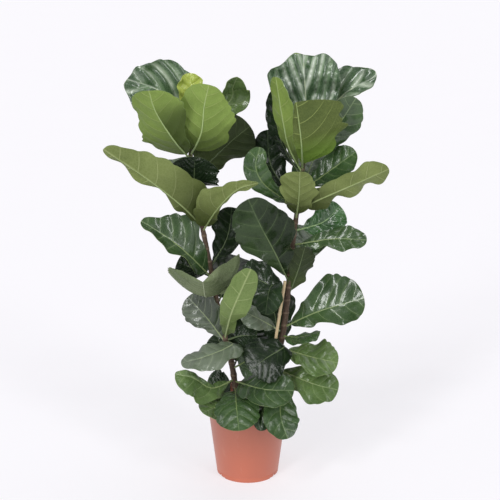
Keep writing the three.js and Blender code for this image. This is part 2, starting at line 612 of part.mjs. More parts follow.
/** The soil that fills the pot, lightly crowned, with plain holes for what stands in it. */
function soilGeometry(standing) {
  const top = POT_HEIGHT - SOIL_DEPTH_BELOW_RIM;
  const bodyTop = POT_RIM_RADIUS - RIM_OVERHANG - RIM_TAPER;
  const wallSlope = (bodyTop - POT_BASE_RADIUS) / (POT_HEIGHT - RIM_BAND - POT_FOOT_CHAMFER);
  const footRadius = POT_BASE_RADIUS - POT_WALL - CLEARANCE - SOIL_EDGE_GAP;
  const radiusAt = (z) => footRadius + wallSlope * (z - POT_FOOT_CHAMFER);
  const floor = POT_FLOOR_THICKNESS + CLEARANCE;
  const soil = turnedSolid([
    [0, floor],
    [radiusAt(floor), floor],
    [radiusAt(top), top],
    [radiusAt(top) * SOIL_SHOULDER.reach, top + SOIL_CROWN * SOIL_SHOULDER.rise],
    [0, top + SOIL_CROWN],
  ]);
  return geometryOf(standing.reduce((left, geometry) => left.subtract(solidOf(geometry)), soil));
}

/** A plain finish of one colour. */
function finish(colour, roughness) {
  return new THREE.MeshStandardMaterial({ color: colour, roughness, metalness: 0 });
}

/** One named piece of the plant. */
function part(name, geometry, material) {
  const mesh = new THREE.Mesh(geometry, material);
  mesh.name = name;
  return mesh;
}

const leafFinish = finish(LEAF_GREEN, 0.35);
const newLeafFinish = finish(NEW_LEAF_GREEN, 0.45);
const barkFinish = finish(BARK_BROWN, 0.85);

const fig = new THREE.Group();
fig.add(part('pot', potGeometry(), finish(POT_TERRACOTTA, 0.55)));
fig.add(part('soil', soilGeometry([
  stemGeometry(STEMS.left, CLEARANCE),
  stemGeometry(STEMS.right, CLEARANCE),
  caneGeometry(CLEARANCE),
]), finish(SOIL_BROWN, 0.95)));
fig.add(part('stem_left', stemGeometry(STEMS.left), barkFinish));
fig.add(part('stem_right', stemGeometry(STEMS.right), barkFinish));
fig.add(part('cane', caneGeometry(), finish(BAMBOO, 0.6)));

const clearStems = {
  left: solidOf(stemGeometry(STEMS.left, CLEARANCE)),
  right: solidOf(stemGeometry(STEMS.right, CLEARANCE)),
};
Object.entries(LEAVES).forEach(([name, leaf]) => {
  const blade = solidOf(leafGeometry(leaf)).subtract(clearStems[leaf.stem]);
  const material = name.includes('new_leaf') ? newLeafFinish : leafFinish;
  fig.add(part(`leaf_${name}`, geometryOf(largestBody(blade)), material));
});

export default fig;
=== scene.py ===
"""Potted fiddle leaf fig: a nursery pot of soil with two leafy trunks and a thin cane.

Metres, +Z up, front at -Y, with the origin in the middle of the pot's base.
"""

import logging
import math
import random
from dataclasses import dataclass, field
from enum import Enum
from typing import Any, Optional, Sequence, Union

import bpy
from mathutils import Matrix, Vector, noise


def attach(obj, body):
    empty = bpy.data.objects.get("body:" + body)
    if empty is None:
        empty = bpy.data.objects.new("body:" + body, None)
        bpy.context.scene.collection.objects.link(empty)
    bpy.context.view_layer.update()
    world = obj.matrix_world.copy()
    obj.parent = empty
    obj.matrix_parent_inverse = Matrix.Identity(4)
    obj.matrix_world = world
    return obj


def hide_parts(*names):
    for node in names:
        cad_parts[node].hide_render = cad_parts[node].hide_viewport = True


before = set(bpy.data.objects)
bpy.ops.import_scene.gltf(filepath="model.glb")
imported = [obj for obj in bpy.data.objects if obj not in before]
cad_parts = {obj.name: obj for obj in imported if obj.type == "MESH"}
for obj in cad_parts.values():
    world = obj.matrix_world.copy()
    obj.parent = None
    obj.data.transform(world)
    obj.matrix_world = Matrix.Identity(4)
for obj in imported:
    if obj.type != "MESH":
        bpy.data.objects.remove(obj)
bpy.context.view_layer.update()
LOG = logging.getLogger("fig")
MM = 0.001
BODY = "root"

Triple = tuple[float, float, float]
Colour = tuple[float, float, float]
Edge = tuple[float, float]


# ---------------------------------------------------------------- materials


class Value:
    """A number that varies over a surface. Its operators add Math nodes to its material."""

    def __init__(self, shader: "Shader", socket: bpy.types.NodeSocket) -> None:
        """Wraps an output socket of a node in the shader."""
        self.shader = shader
        self.socket = socket

    def _math(self, operation: str, *numbers: "Number") -> "Value":
        """Adds one Math node.

        Args:
            operation: the node's operation.
            numbers: its inputs, in order.

        Returns:
            The node's result.
        """
        made = self.shader.node("ShaderNodeMath", {"operation": operation}, dict(enumerate(numbers)))
        return Value(self.shader, made.outputs[0])

    def __add__(self, other: "Number") -> "Value":
        """self + other."""
        return self._math("ADD", self, other)

    __radd__ = __add__

    def __sub__(self, other: "Number") -> "Value":
        """self - other."""
        return self._math("SUBTRACT", self, other)

    def __rsub__(self, other: "Number") -> "Value":
        """other - self."""
        return self._math("SUBTRACT", other, self)

    def __mul__(self, other: "Number") -> "Value":
        """self * other."""
        return self._math("MULTIPLY", self, other)

    __rmul__ = __mul__

    def __abs__(self) -> "Value":
        """The size of self."""
        return self._math("ABSOLUTE", self)

    def fraction(self) -> "Value":
        """What is left of self past a whole number."""
        return self._math("FRACT", self)

    def wave(self) -> "Value":
        """The cosine of self, in radians."""
        return self._math("COSINE", self)

    def above(self, limit: float) -> "Value":
        """1 where self is over the limit, else 0."""
        return self._math("GREATER_THAN", self, limit)

    def larger(self, other: "Number") -> "Value":
        """The larger of self and other."""
        return self._math("MAXIMUM", self, other)

    def step(self, low: "Number", high: "Number") -> "Value":
        """A smooth step.

        Args:
            low: where the step leaves 0.
            high: where it reaches 1.

        Returns:
            The step, from 0 to 1.
        """
        made = self.shader.node(
            "ShaderNodeMapRange",
            {"interpolation_type": "SMOOTHSTEP"},
            {"Value": self, "From Min": low, "From Max": high},
        )
        return Value(self.shader, made.outputs["Result"])


Number = Union[Value, float]


@dataclass(frozen=True)
class Mottle:
    """Soft noise over an object.

    Its scale is in blotches in a metre, its detail is the number of finer layers, and its stretch squeezes
    it along X, Y and Z. Its edge, if it has one, is where a smooth step of it starts and ends.
    """

    scale: float
    detail: float = 3.0
    stretch: Triple = (1.0, 1.0, 1.0)
    edge: Optional[Edge] = None


@dataclass(frozen=True)
class Relief:
    """How deep a bump is, in metres, and how much of it shows."""

    depth: float
    strength: float


@dataclass(frozen=True)
class Layer:
    """A colour laid over another, and how much of it shows where its mask is full."""

    colour: Colour
    show: float


class Shader:
    """A material whose nodes are added one by one."""

    def __init__(self, name: str) -> None:
        """Starts an empty material of that name.

        Args:
            name: the material's name.
        """
        self.material = bpy.data.materials.new(name)
        self.material.use_nodes = True
        self.tree = self.material.node_tree
        self.tree.nodes.clear()

    def node(
        self,
        kind: str,
        settings: Optional[dict[str, Any]] = None,
        inputs: Optional[dict[Union[str, int], Any]] = None,
    ) -> bpy.types.Node:
        """Adds a node.

        Args:
            kind: the node's type.
            settings: its own settings, set first.
            inputs: a number, a tuple, a Value or a socket for each input, by its name or place.

        Returns:
            The node.
        """
        made = self.tree.nodes.new(kind)
        for key, setting in (settings or {}).items():
            setattr(made, key, setting)
        for key, given in (inputs or {}).items():
            socket = given.socket if isinstance(given, Value) else given
            if isinstance(socket, bpy.types.NodeSocket):
                self.tree.links.new(socket, made.inputs[key])
            else:
                made.inputs[key].default_value = given
        return made

    def uv(self, layer: str) -> tuple[Value, Value]:
        """The two coordinates of a UV map.

        Args:
            layer: the map's name.

        Returns:
            Its two coordinates.
        """
        found = self.node("ShaderNodeUVMap", {"uv_map": layer})
        split = self.node("ShaderNodeSeparateXYZ", inputs={0: found.outputs[0]})
        return Value(self, split.outputs[0]), Value(self, split.outputs[1])

    def place(self, scale: Triple = (1.0, 1.0, 1.0)) -> bpy.types.NodeSocket:
        """Object coordinates, stretched by a scale.

        Args:
            scale: the stretch along X, Y and Z.

        Returns:
            The coordinates' socket.
        """
        found = self.node("ShaderNodeTexCoord")
        mapped = self.node("ShaderNodeMapping", inputs={0: found.outputs["Object"], "Scale": scale})
        return mapped.outputs[0]

    def height(self) -> Value:
        """The height of a point above the ground."""
        split = self.node("ShaderNodeSeparateXYZ", inputs={0: self.place()})
        return Value(self, split.outputs[2])

    def mottle(self, pattern: Mottle) -> Value:
        """Soft noise over the object, from 0 to 1.

        Args:
            pattern: the noise's scale, detail, stretch and edge.

        Returns:
            The noise, or its smooth step where it has an edge.
        """
        inputs = {"Vector": self.place(pattern.stretch), "Scale": pattern.scale, "Detail": pattern.detail}
        made = Value(self, self.node("ShaderNodeTexNoise", inputs=inputs).outputs[0])
        return made.step(*pattern.edge) if pattern.edge else made

    def cells(self, layer: str, scale: float) -> Value:
        """Distance to the nearest edge of small cells on a UV map, from 0 at the edge.

        Args:
            layer: the map's name.
            scale: cells in one unit of the map.

        Returns:
            The distance.
        """
        found = self.node("ShaderNodeUVMap", {"uv_map": layer})
        made = self.node(
            "ShaderNodeTexVoronoi",
            {"feature": "DISTANCE_TO_EDGE"},
            {"Vector": found.outputs[0], "Scale": scale},
        )
        return Value(self, made.outputs["Distance"])

    def mix(self, share: Number, first: Any, second: Any) -> bpy.types.NodeSocket:
        """Mixes two colours.

        Args:
            share: 0 for all of the first, 1 for all of the second.
            first: a colour, or a colour socket.
            second: the other colour, or its socket.

        Returns:
            The mixed colour's socket.
        """
        shown = [(*c, 1.0) if isinstance(c, tuple) else c for c in (first, second)]
        made = self.node(
            "ShaderNodeMix", {"data_type": "RGBA"}, {0: share, 6: shown[0], 7: shown[1]}
        )
        return made.outputs[2]

    def lay(self, under: Any, mask: Number, layer: Layer) -> bpy.types.NodeSocket:
        """Lays a layer over a colour where a mask says."""
        return self.mix(mask * layer.show, under, layer.colour)

    def bump(self, height: Value, relief: Relief) -> bpy.types.NodeSocket:
        """A normal bumped by a height from 0 to 1.

        Args:
            height: the relief, from 0 to 1.
            relief: its depth and strength.

        Returns:
            The normal's socket.
        """
        made = self.node(
            "ShaderNodeBump",
            inputs={"Height": height, "Distance": relief.depth, "Strength": relief.strength},
        )
        return made.outputs[0]

    def surface(self, inputs: dict[str, Any]) -> bpy.types.Material:
        """Closes the material with one Principled shader and its inputs.

        Args:
            inputs: a number, a colour, a Value or a socket for each input, by its name.

        Returns:
            The material.
        """
        shown = {key: (*v, 1.0) if isinstance(v, tuple) else v for key, v in inputs.items()}
        made = self.node("ShaderNodeBsdfPrincipled", inputs=shown)
        self.node("ShaderNodeOutputMaterial", inputs={"Surface": made.outputs[0]})
        return self.material


# Side veins run from the midrib to the edge, and bow forward towards the tip
SIDE_VEINS = 6.0
VEIN_START = 0.5
VEIN_STAGGER = 0.36
VEIN_LEAN = 0.35
VEIN_BOW = 1.5


def vein_turns(along: Any, aside: Any, left: Any, count: float, lean: float) -> Any:
    """Counts side veins from the foot of a blade: each vein is where the count is whole.

    Args:
        along: place along the blade as a share of its length, a number or a Value.
        aside: distance from the midrib as a share of the blade's length.
        left: 1 on the left half, whose veins leave the midrib a little further on, else 0.
        count: how many side veins the blade has on each side.
        lean: how steeply they run towards the tip.

    Returns:
        The count, as the inputs' kind.
    """
    forward = aside * lean + aside * aside * VEIN_BOW
    return (along - forward) * count + VEIN_START + left * VEIN_STAGGER


@dataclass(frozen=True)
class LeafFinish:
    """The colours of one kind of leaf: its glossy upper face and its matt underside, with painted light and
    shade in some kinds.

    Its names in capitals hold what all kinds share. An EDGE or a FADE is where a soft edge starts and ends.
    """

    upper: Colour
    upper_deep: Colour
    # The upper face's vein colour, also the colour of its painted highlight streaks
    upper_vein_and_highlight: Colour
    lower: Colour
    lower_deep: Colour
    lower_vein: Colour
    gloss: float = 0.27
    coat: float = 0.35
    coat_rough: float = 0.09
    shine: float = 0.34
    # Painted shade on the underside: the shaded colour at the foot and on the left half, and how much of it
    # shows; on one kind the shaded colour is a brighter green that paints light on the foot
    shaded: Colour = (0.056, 0.086, 0.016)
    foot_shade: float = 0.5
    vein_show: float = 0.46
    half_shade: float = 0.0
    # A lighter band beside the veins: faint on most kinds, and a painted highlight on each fold where it is
    # strong; the same share paints shade in the valleys
    highlight_streak: float = 0.13
    band_start: float = 0.6
    # Painted shade on the right half of the upper face
    right_half_shade: float = 0.0
    vein_count: float = SIDE_VEINS
    lean: float = VEIN_LEAN
    name: str = "leaf"

    # Veins, the band beside them and the net between them; the upper face paints highlight streaks on the
    # band
    UPPER_VEIN_WIDTH = 0.06
    UNDER_VEIN_WIDTH = 0.075
    VEIN_CORE = 0.3
    VEIN_FADE = (0.6, 0.97)
    VEIN_FADE_SHARE = 0.7
    MIDRIB_EDGE = (0.004, 0.011)
    BAND_FADE = (0.8, 1.0)
    NET_SCALE = 44.0
    NET_EDGE = (0.0, 0.2)

    # The upper face, with its painted shade and painted highlight streaks
    UPPER_BLOTCH = Mottle(14.0, 4.0, edge=(0.3, 0.72))
    # Where the painted shade on the right half starts and ends, and where it fades towards the tip
    RIGHT_HALF_EDGE = (0.46, 0.56)
    RIGHT_SHADE_FADE = (0.75, 1.0)
    # Where the painted shade in the valleys between the highlight streaks fades out
    VALLEY_SHADE_EDGE = (0.0, 0.12)
    # Noise that breaks up the painted highlight streaks
    HIGHLIGHT_BREAKS = Mottle(19.0, 1.0, edge=(0.4, 0.6))
    HIGHLIGHT_BROKEN = 0.8
    UPPER_NET_SHOW = 0.08
    QUILT = Mottle(75.0)
    QUILT_RISE = 0.9
    UPPER_NET_RISE = -0.12
    UPPER_VEIN_RISE = -0.35
    UPPER_RELIEF = Relief(0.0016, 0.5)
    QUILT_ROUGH = 0.16
    VEIN_ROUGH = 0.1

    # The underside, with its painted shade
    UNDER_BLOTCH = Mottle(11.0, 4.0, edge=(0.25, 0.75))
    FOOT_FADE = (0.05, 0.62)
    HALF_FADE = (0.45, 0.95)
    UNDER_BAND_SHOW = 0.35
    UNDER_NET_SHOW = 0.14
    UNDER_VEIN_SHOW = 0.6
    UNDER_GRAIN = Mottle(110.0)
    UNDER_NET_RISE = 0.25
    UNDER_VEIN_RISE = 0.9
    UNDER_GRAIN_RISE = 0.4
    UNDER_RELIEF = Relief(0.0011, 0.6)
    UNDER_CLOUD = Mottle(70.0)
    UNDER_ROUGH = 0.48
    UNDER_ROUGH_SWING = 0.14
    UNDER_SHINE = 0.25

    # The margin and the midrib
    MARGIN_BLOTCH = Mottle(90.0, 2.0)
    MARGIN_ROUGH = 0.5
    RIB_FIBRE = Mottle(160.0, 3.0, (1.0, 1.0, 0.3))
    RIB_RELIEF = Relief(0.0004, 0.5)
    RIB_ROUGH = 0.38
    RIB_ROUGH_SWING = 0.2

    def _veins(self, shader: Shader, width: float) -> tuple[Value, Value, Value]:
        """The blade's veins as masks.

        Args:
            shader: the material they are made in.
            width: how wide the side veins are, in turns of their count.

        Returns:
            The pale side veins and midrib, the soft band beside them, and the fine net.
        """
        x, along = shader.uv("Blade")
        aside = abs(shader.uv("Flat")[0])
        left = 1 - x.above(0.5)
        across = abs(x * 2 - 1)
        turns = vein_turns(along, aside, left, self.vein_count, self.lean)
        nearness = abs(turns.fraction() - 0.5) * 2
        line = nearness.step(1 - width, 1 - self.VEIN_CORE * width)
        side = line * (1 - across.step(*self.VEIN_FADE) * self.VEIN_FADE_SHARE)
        rib = 1 - aside.step(*self.MIDRIB_EDGE)
        band = nearness.step(self.band_start, 1.0) * (1 - across.step(*self.BAND_FADE))
        net = 1 - shader.cells("Flat", self.NET_SCALE).step(*self.NET_EDGE)
        return side.larger(rib), band, net

    def upper_face(self) -> bpy.types.Material:
        """The glossy upper face, with pale sunken veins, painted highlight streaks on its folds, and painted
        shade in the valleys between them and on its right half.

        Returns:
            The material.
        """
        shader = Shader(f"{self.name}_upper")
        veins, band, net = self._veins(shader, self.UPPER_VEIN_WIDTH)
        x, along = shader.uv("Blade")
        # Painted shade on the right half, fading towards the tip
        right_shade = x.step(*self.RIGHT_HALF_EDGE) * (1 - along.step(*self.RIGHT_SHADE_FADE)) * self.right_half_shade
        # Painted shade in the valleys between the highlight streaks
        valley_shade = (1 - band.step(*self.VALLEY_SHADE_EDGE)) * self.highlight_streak
        mottled = shader.mix(shader.mottle(self.UPPER_BLOTCH), self.upper, self.upper_deep)
        skin = shader.mix(right_shade.larger(valley_shade), mottled, self.upper_deep)
        # Painted highlight streaks on the folds beside the veins, broken up by noise
        broken_highlight = band * (shader.mottle(self.HIGHLIGHT_BREAKS) * self.HIGHLIGHT_BROKEN + (1 - self.HIGHLIGHT_BROKEN))
        banded = shader.mix(broken_highlight * self.highlight_streak, skin, self.upper_vein_and_highlight)
        netted = shader.mix(net * self.UPPER_NET_SHOW, banded, self.upper_vein_and_highlight)
        colour = shader.mix(veins * self.vein_show, netted, self.upper_vein_and_highlight)
        quilt = shader.mottle(self.QUILT)
        height = quilt * self.QUILT_RISE + net * self.UPPER_NET_RISE + veins * self.UPPER_VEIN_RISE
        smoothest = self.gloss - self.QUILT_ROUGH / 2
        return shader.surface({
            "Base Color": colour,
            "Roughness": quilt * self.QUILT_ROUGH + veins * self.VEIN_ROUGH + smoothest,
            "Specular IOR Level": self.shine,
            "Coat Weight": self.coat,
            "Coat Roughness": self.coat_rough,
            "Normal": shader.bump(height, self.UPPER_RELIEF),
        })

    def under_face(self) -> bpy.types.Material:
        """The matt underside, with raised veins, a fine net, painted shade on its left half, and painted
        shade at its foot (painted light on one kind).

        Returns:
            The material.
        """
        shader = Shader(f"{self.name}_under")
        veins, band, net = self._veins(shader, self.UNDER_VEIN_WIDTH)
        x, along = shader.uv("Blade")
        # Painted shade at the foot and on the left half of the underside
        foot = (1 - along.step(*self.FOOT_FADE)) * self.foot_shade
        half = (1 - x.above(0.5)) * (1 - along.step(*self.HALF_FADE)) * self.half_shade
        skin = shader.mix(shader.mottle(self.UNDER_BLOTCH), self.lower, self.lower_deep)
        banded = shader.mix(band * self.UNDER_BAND_SHOW, skin, self.lower_deep)
        netted = shader.mix(net * self.UNDER_NET_SHOW, banded, self.lower_vein)
        veined = shader.mix(veins * self.UNDER_VEIN_SHOW, netted, self.lower_vein)
        colour = shader.mix(foot.larger(half), veined, self.shaded)
        grain = shader.mottle(self.UNDER_GRAIN) * self.UNDER_GRAIN_RISE
        height = net * self.UNDER_NET_RISE + veins * self.UNDER_VEIN_RISE + grain
        return shader.surface({
            "Base Color": colour,
            "Roughness": shader.mottle(self.UNDER_CLOUD) * self.UNDER_ROUGH_SWING + self.UNDER_ROUGH,
            "Specular IOR Level": self.UNDER_SHINE,
            "Normal": shader.bump(height, self.UNDER_RELIEF),
        })

    def margin(self) -> bpy.types.Material:
        """The thin pale rim round the blade.

        Returns:
            The material.
        """
        shader = Shader(f"{self.name}_margin")
        colour = shader.mix(shader.mottle(self.MARGIN_BLOTCH), self.upper_vein_and_highlight, self.lower)
        return shader.surface({"Base Color": colour, "Roughness": self.MARGIN_ROUGH})

    def rib(self) -> bpy.types.Material:
        """The pale stalk and midrib, streaked along their length.

        Returns:
            The material.
        """
        shader = Shader(f"{self.name}_rib")
        fibre = shader.mottle(self.RIB_FIBRE)
        return shader.surface({
            "Base Color": shader.mix(fibre, self.lower_vein, self.upper_vein_and_highlight),
            "Roughness": fibre * self.RIB_ROUGH_SWING + self.RIB_ROUGH,
            "Normal": shader.bump(fibre, self.RIB_RELIEF),
        })

    def faces(self) -> list[bpy.types.Material]:
        """Its materials in slot order: upper face, underside, margin and rib."""
        return [self.upper_face(), self.under_face(), self.margin(), self.rib()]


# Colours that several kinds of leaf share: skin, darker skin and veins of one face; the upper face's vein
# colour is also the colour of its painted highlight streaks
CROWN_UPPER = ((0.105, 0.205, 0.078), (0.050, 0.115, 0.042), (0.300, 0.430, 0.215))
CROWN_LOWER = ((0.198, 0.288, 0.058), (0.130, 0.200, 0.036), (0.350, 0.430, 0.135))
# Undersides darkened with painted shade
DEEP_LOWER = ((0.050, 0.072, 0.022), (0.030, 0.046, 0.014), (0.125, 0.165, 0.062))
SHEEN_LOWER = ((0.100, 0.150, 0.036), (0.070, 0.110, 0.024), (0.225, 0.290, 0.105))


class Tone(Enum):
    """The kinds of leaf on the plant."""

    # The leaf's own dark green, darkened further with painted shade: leaves deep in the foliage, in the cup
    # and at the back
    DARK = LeafFinish(
        (0.009, 0.021, 0.007), (0.004, 0.010, 0.004), (0.062, 0.098, 0.038),
        (0.034, 0.050, 0.015), (0.018, 0.030, 0.009), (0.100, 0.135, 0.050),
        gloss=0.2, coat=0.12, coat_rough=0.05, shine=0.2, vein_show=0.34, name="dark_leaf",
    )
    # Painted light and shade: blotches from near black to a brighter green, and painted shade on the right
    # half
    DAPPLED = LeafFinish(
        (0.036, 0.063, 0.023), (0.005, 0.012, 0.004), (0.100, 0.150, 0.062), *DEEP_LOWER,
        gloss=0.2, coat=0.14, coat_rough=0.05, shine=0.2, vein_show=0.36,
        right_half_shade=0.85, name="shade_dappled_leaf",
    )
    # Dark green darkened with painted shade, for leaves inside the foliage
    DEEP = LeafFinish(
        (0.018, 0.040, 0.014), (0.009, 0.021, 0.008), (0.090, 0.140, 0.056), *DEEP_LOWER,
        gloss=0.24, coat=0.25, coat_rough=0.07, shine=0.3, vein_show=0.4, name="deep_leaf",
    )
    MID = LeafFinish(
        (0.046, 0.096, 0.028), (0.021, 0.052, 0.015), (0.175, 0.255, 0.094),
        (0.100, 0.150, 0.030), (0.068, 0.108, 0.020), (0.225, 0.290, 0.095),
        coat_rough=0.12, name="mid_leaf",
    )
    GLOSSY = LeafFinish(
        (0.050, 0.100, 0.031), (0.020, 0.048, 0.015), (0.220, 0.300, 0.135),
        (0.110, 0.160, 0.034), (0.072, 0.112, 0.022), (0.225, 0.290, 0.095),
        gloss=0.24, coat=0.6, coat_rough=0.1, name="glossy_leaf",
    )
    FRESH = LeafFinish(
        (0.128, 0.205, 0.062), (0.068, 0.122, 0.036), (0.300, 0.385, 0.175),
        (0.148, 0.228, 0.048), (0.102, 0.166, 0.032), (0.295, 0.370, 0.128), name="fresh_leaf",
    )
    LIGHT = LeafFinish(
        (0.128, 0.176, 0.058), (0.070, 0.112, 0.032), (0.290, 0.360, 0.160),
        (0.148, 0.210, 0.064), (0.104, 0.160, 0.042), (0.300, 0.370, 0.150),
        coat=0.5, coat_rough=0.16, name="light_leaf",
    )
    GREY = LeafFinish(
        (0.070, 0.110, 0.040), (0.034, 0.062, 0.022), (0.230, 0.290, 0.140),
        (0.165, 0.205, 0.098), (0.074, 0.108, 0.038), (0.440, 0.480, 0.340),
        foot_shade=0.1, vein_count=9.0, lean=-0.1, name="grey_leaf",
    )
    CROWN = LeafFinish(
        *CROWN_UPPER, *CROWN_LOWER,
        gloss=0.2, coat=0.9, coat_rough=0.14, foot_shade=0.85, vein_show=0.6, name="crown_leaf",
    )
    HALF_SHADED = LeafFinish(
        *CROWN_UPPER, *CROWN_LOWER,
        coat=0.9, shaded=(0.040, 0.064, 0.010), half_shade=0.9, name="half_shaded_leaf",
    )
    # An underside darkened with painted shade; its shaded colour is a brighter green that paints light on the
    # foot
    BROWNED = LeafFinish(
        *CROWN_UPPER, (0.076, 0.104, 0.020), (0.054, 0.080, 0.015), (0.270, 0.330, 0.095),
        coat=0.9, shaded=(0.150, 0.260, 0.036), foot_shade=0.85,
        vein_count=4.4, lean=0.12, name="shaded_crown_leaf",
    )
    # Broad near-white painted highlight streaks on the folds, with painted shade in the valleys between them
    STREAKED = LeafFinish(
        (0.135, 0.235, 0.105), (0.030, 0.075, 0.026), (0.700, 0.770, 0.650), *CROWN_LOWER,
        gloss=0.2, coat=1.0, coat_rough=0.16, vein_show=0.4, highlight_streak=0.85, band_start=0.3,
        vein_count=2.7, lean=2.8, name="highlight_streaked_leaf",
    )
    # Pale painted highlight streaks on the folds, with painted shade in the valleys between them
    FOLDED = LeafFinish(
        (0.100, 0.185, 0.075), (0.030, 0.072, 0.027), (0.600, 0.680, 0.540), *CROWN_LOWER,
        gloss=0.2, coat=1.0, coat_rough=0.14, vein_show=0.4, highlight_streak=0.7, band_start=0.35,
        vein_count=4.2, lean=1.3, name="folded_leaf",
    )
    OLIVE = LeafFinish(
        (0.036, 0.080, 0.026), (0.020, 0.048, 0.016), (0.190, 0.280, 0.100),
        (0.170, 0.212, 0.062), (0.112, 0.148, 0.036), (0.310, 0.355, 0.145),
        shaded=(0.040, 0.057, 0.010), foot_shade=0.92, name="olive_leaf",
    )
    # A pale grey-green upper face: a painted sheen
    SHEEN = LeafFinish(
        (0.165, 0.203, 0.142), (0.060, 0.092, 0.048), (0.320, 0.375, 0.250), *SHEEN_LOWER,
        gloss=0.3, coat=0.9, coat_rough=0.18, name="sheen_leaf",
    )
    # A pale grey-green painted sheen, with near-black painted shade on the right half
    TWO_TONE = LeafFinish(
        (0.140, 0.173, 0.120), (0.012, 0.026, 0.009), (0.270, 0.325, 0.200), *SHEEN_LOWER,
        gloss=0.3, coat=0.7, coat_rough=0.18, right_half_shade=0.8, name="sheen_and_shade_leaf",
    )
    VIVID = LeafFinish(
        (0.058, 0.180, 0.042), (0.018, 0.062, 0.016), (0.260, 0.400, 0.200),
        (0.110, 0.200, 0.040), (0.070, 0.130, 0.024), (0.250, 0.360, 0.130),
        gloss=0.24, coat=0.6, coat_rough=0.1, name="vivid_leaf",
    )
    NEW = LeafFinish(
        (0.490, 0.570, 0.110), (0.360, 0.460, 0.072), (0.600, 0.670, 0.190),
        (0.500, 0.570, 0.115), (0.390, 0.480, 0.078), (0.620, 0.690, 0.220), gloss=0.36, name="new_leaf",
    )


@dataclass(frozen=True)
class BarkFinish:
    """Brown bark with paler rings at the leaf scars, fine cracks and pale specks."""

    dark: Colour = (0.060, 0.034, 0.020)
    light: Colour = (0.125, 0.078, 0.048)
    patch: Mottle = Mottle(26.0, 4.0)
    grain: Mottle = Mottle(240.0, 5.0, (1.0, 1.0, 0.22))
    crack: Layer = Layer((0.035, 0.021, 0.013), 0.6)
    crack_edge: Edge = (0.35, 0.7)
    scar: Layer = Layer((0.20, 0.14, 0.092), 0.55)
    scar_spacing: float = 0.031
    scar_edge: Edge = (0.80, 0.99)
    scar_rise: float = 0.6
    young: Layer = Layer((0.085, 0.115, 0.035), 0.7)
    young_heights: Edge = (0.60, 0.86)
    speck: Layer = Layer((0.30, 0.24, 0.17), 0.5)
    specks: Mottle = Mottle(520.0, 1.0, (1.0, 1.0, 0.6), (0.66, 0.74))
    rough: float = 0.62
    rough_swing: float = 0.2
    relief: Relief = Relief(0.0010, 0.8)

    def material(self, name: str) -> bpy.types.Material:
        """The bark's material, under a name.

        Args:
            name: its name.

        Returns:
            The material.
        """
        shader = Shader(name)
        grain = shader.mottle(self.grain)
        height = shader.height()
        ring = (height * (2 * math.pi / self.scar_spacing)).wave().step(*self.scar_edge)
        old = shader.mix(shader.mottle(self.patch), self.dark, self.light)
        cracked = shader.lay(old, grain.step(*self.crack_edge), self.crack)
        ringed = shader.lay(cracked, ring, self.scar)
        greened = shader.lay(ringed, height.step(*self.young_heights), self.young)
        return shader.surface({
            "Base Color": shader.lay(greened, shader.mottle(self.specks), self.speck),
            "Roughness": grain * self.rough_swing + self.rough,
            "Normal": shader.bump(grain + ring * self.scar_rise, self.relief),
        })


@dataclass(frozen=True)
class BudFinish:
    """The dry brown sheath of a bud."""

    dark: Colour = (0.11, 0.075, 0.045)
    light: Colour = (0.26, 0.20, 0.12)
    grain: Mottle = Mottle(300.0, 4.0, (1.0, 1.0, 0.2))
    grain_edge: Edge = (0.3, 0.7)
    rough: float = 0.6
    relief: Relief = Relief(0.0005, 0.7)

    def material(self, name: str) -> bpy.types.Material:
        """The sheath's material, under a name.

        Args:
            name: its name.

        Returns:
            The material.
        """
        shader = Shader(name)
        grain = shader.mottle(self.grain)
        return shader.surface({
            "Base Color": shader.mix(grain.step(*self.grain_edge), self.dark, self.light),
            "Roughness": self.rough,
            "Normal": shader.bump(grain, self.relief),
        })


@dataclass(frozen=True)
class CaneFinish:
    """Pale cane with fine lengthwise fibres and darker stains."""

    dark: Colour = (0.56, 0.41, 0.22)
    light: Colour = (0.72, 0.58, 0.36)
    fibre: Mottle = Mottle(380.0, 4.0, (1.0, 1.0, 0.05))
    fibre_edge: Edge = (0.3, 0.75)
    stain: Layer = Layer((0.33, 0.22, 0.11), 0.5)
    stains: Mottle = Mottle(30.0, edge=(0.5, 0.8))
    rough: float = 0.38
    rough_swing: float = 0.15
    relief: Relief = Relief(0.0004, 0.5)

    def material(self, name: str) -> bpy.types.Material:
        """The cane's material, under a name.

        Args:
            name: its name.

        Returns:
            The material.
        """
        shader = Shader(name)
        fibre = shader.mottle(self.fibre)
        skin = shader.mix(fibre.step(*self.fibre_edge), self.dark, self.light)
        return shader.surface({
            "Base Color": shader.lay(skin, shader.mottle(self.stains), self.stain),
            "Roughness": fibre * self.rough_swing + self.rough,
            "Normal": shader.bump(fibre, self.relief),
        })


@dataclass(frozen=True)
class SoilFinish:
    """Rough crumbly soil between two colours."""

    dark: Colour
    light: Colour
    clod: Mottle = Mottle(150.0, 6.0)
    clod_edge: Edge = (0.32, 0.72)
    grit: Mottle = Mottle(700.0, 2.0)
    grit_rise: float = 0.5
    rough: float = 0.8
    rough_swing: float = 0.15
    relief: Relief = Relief(0.0030, 0.9)

    def material(self, name: str) -> bpy.types.Material:
        """The soil's material, under a name.

        Args:
            name: its name.

        Returns:
            The material.
        """
        shader = Shader(name)
        clod = shader.mottle(self.clod)
        grit = shader.mottle(self.grit)
        return shader.surface({
            "Base Color": shader.mix(clod.step(*self.clod_edge), self.dark, self.light),
            "Roughness": grit * self.rough_swing + self.rough,
            "Normal": shader.bump(clod + grit * self.grit_rise, self.relief),
        })


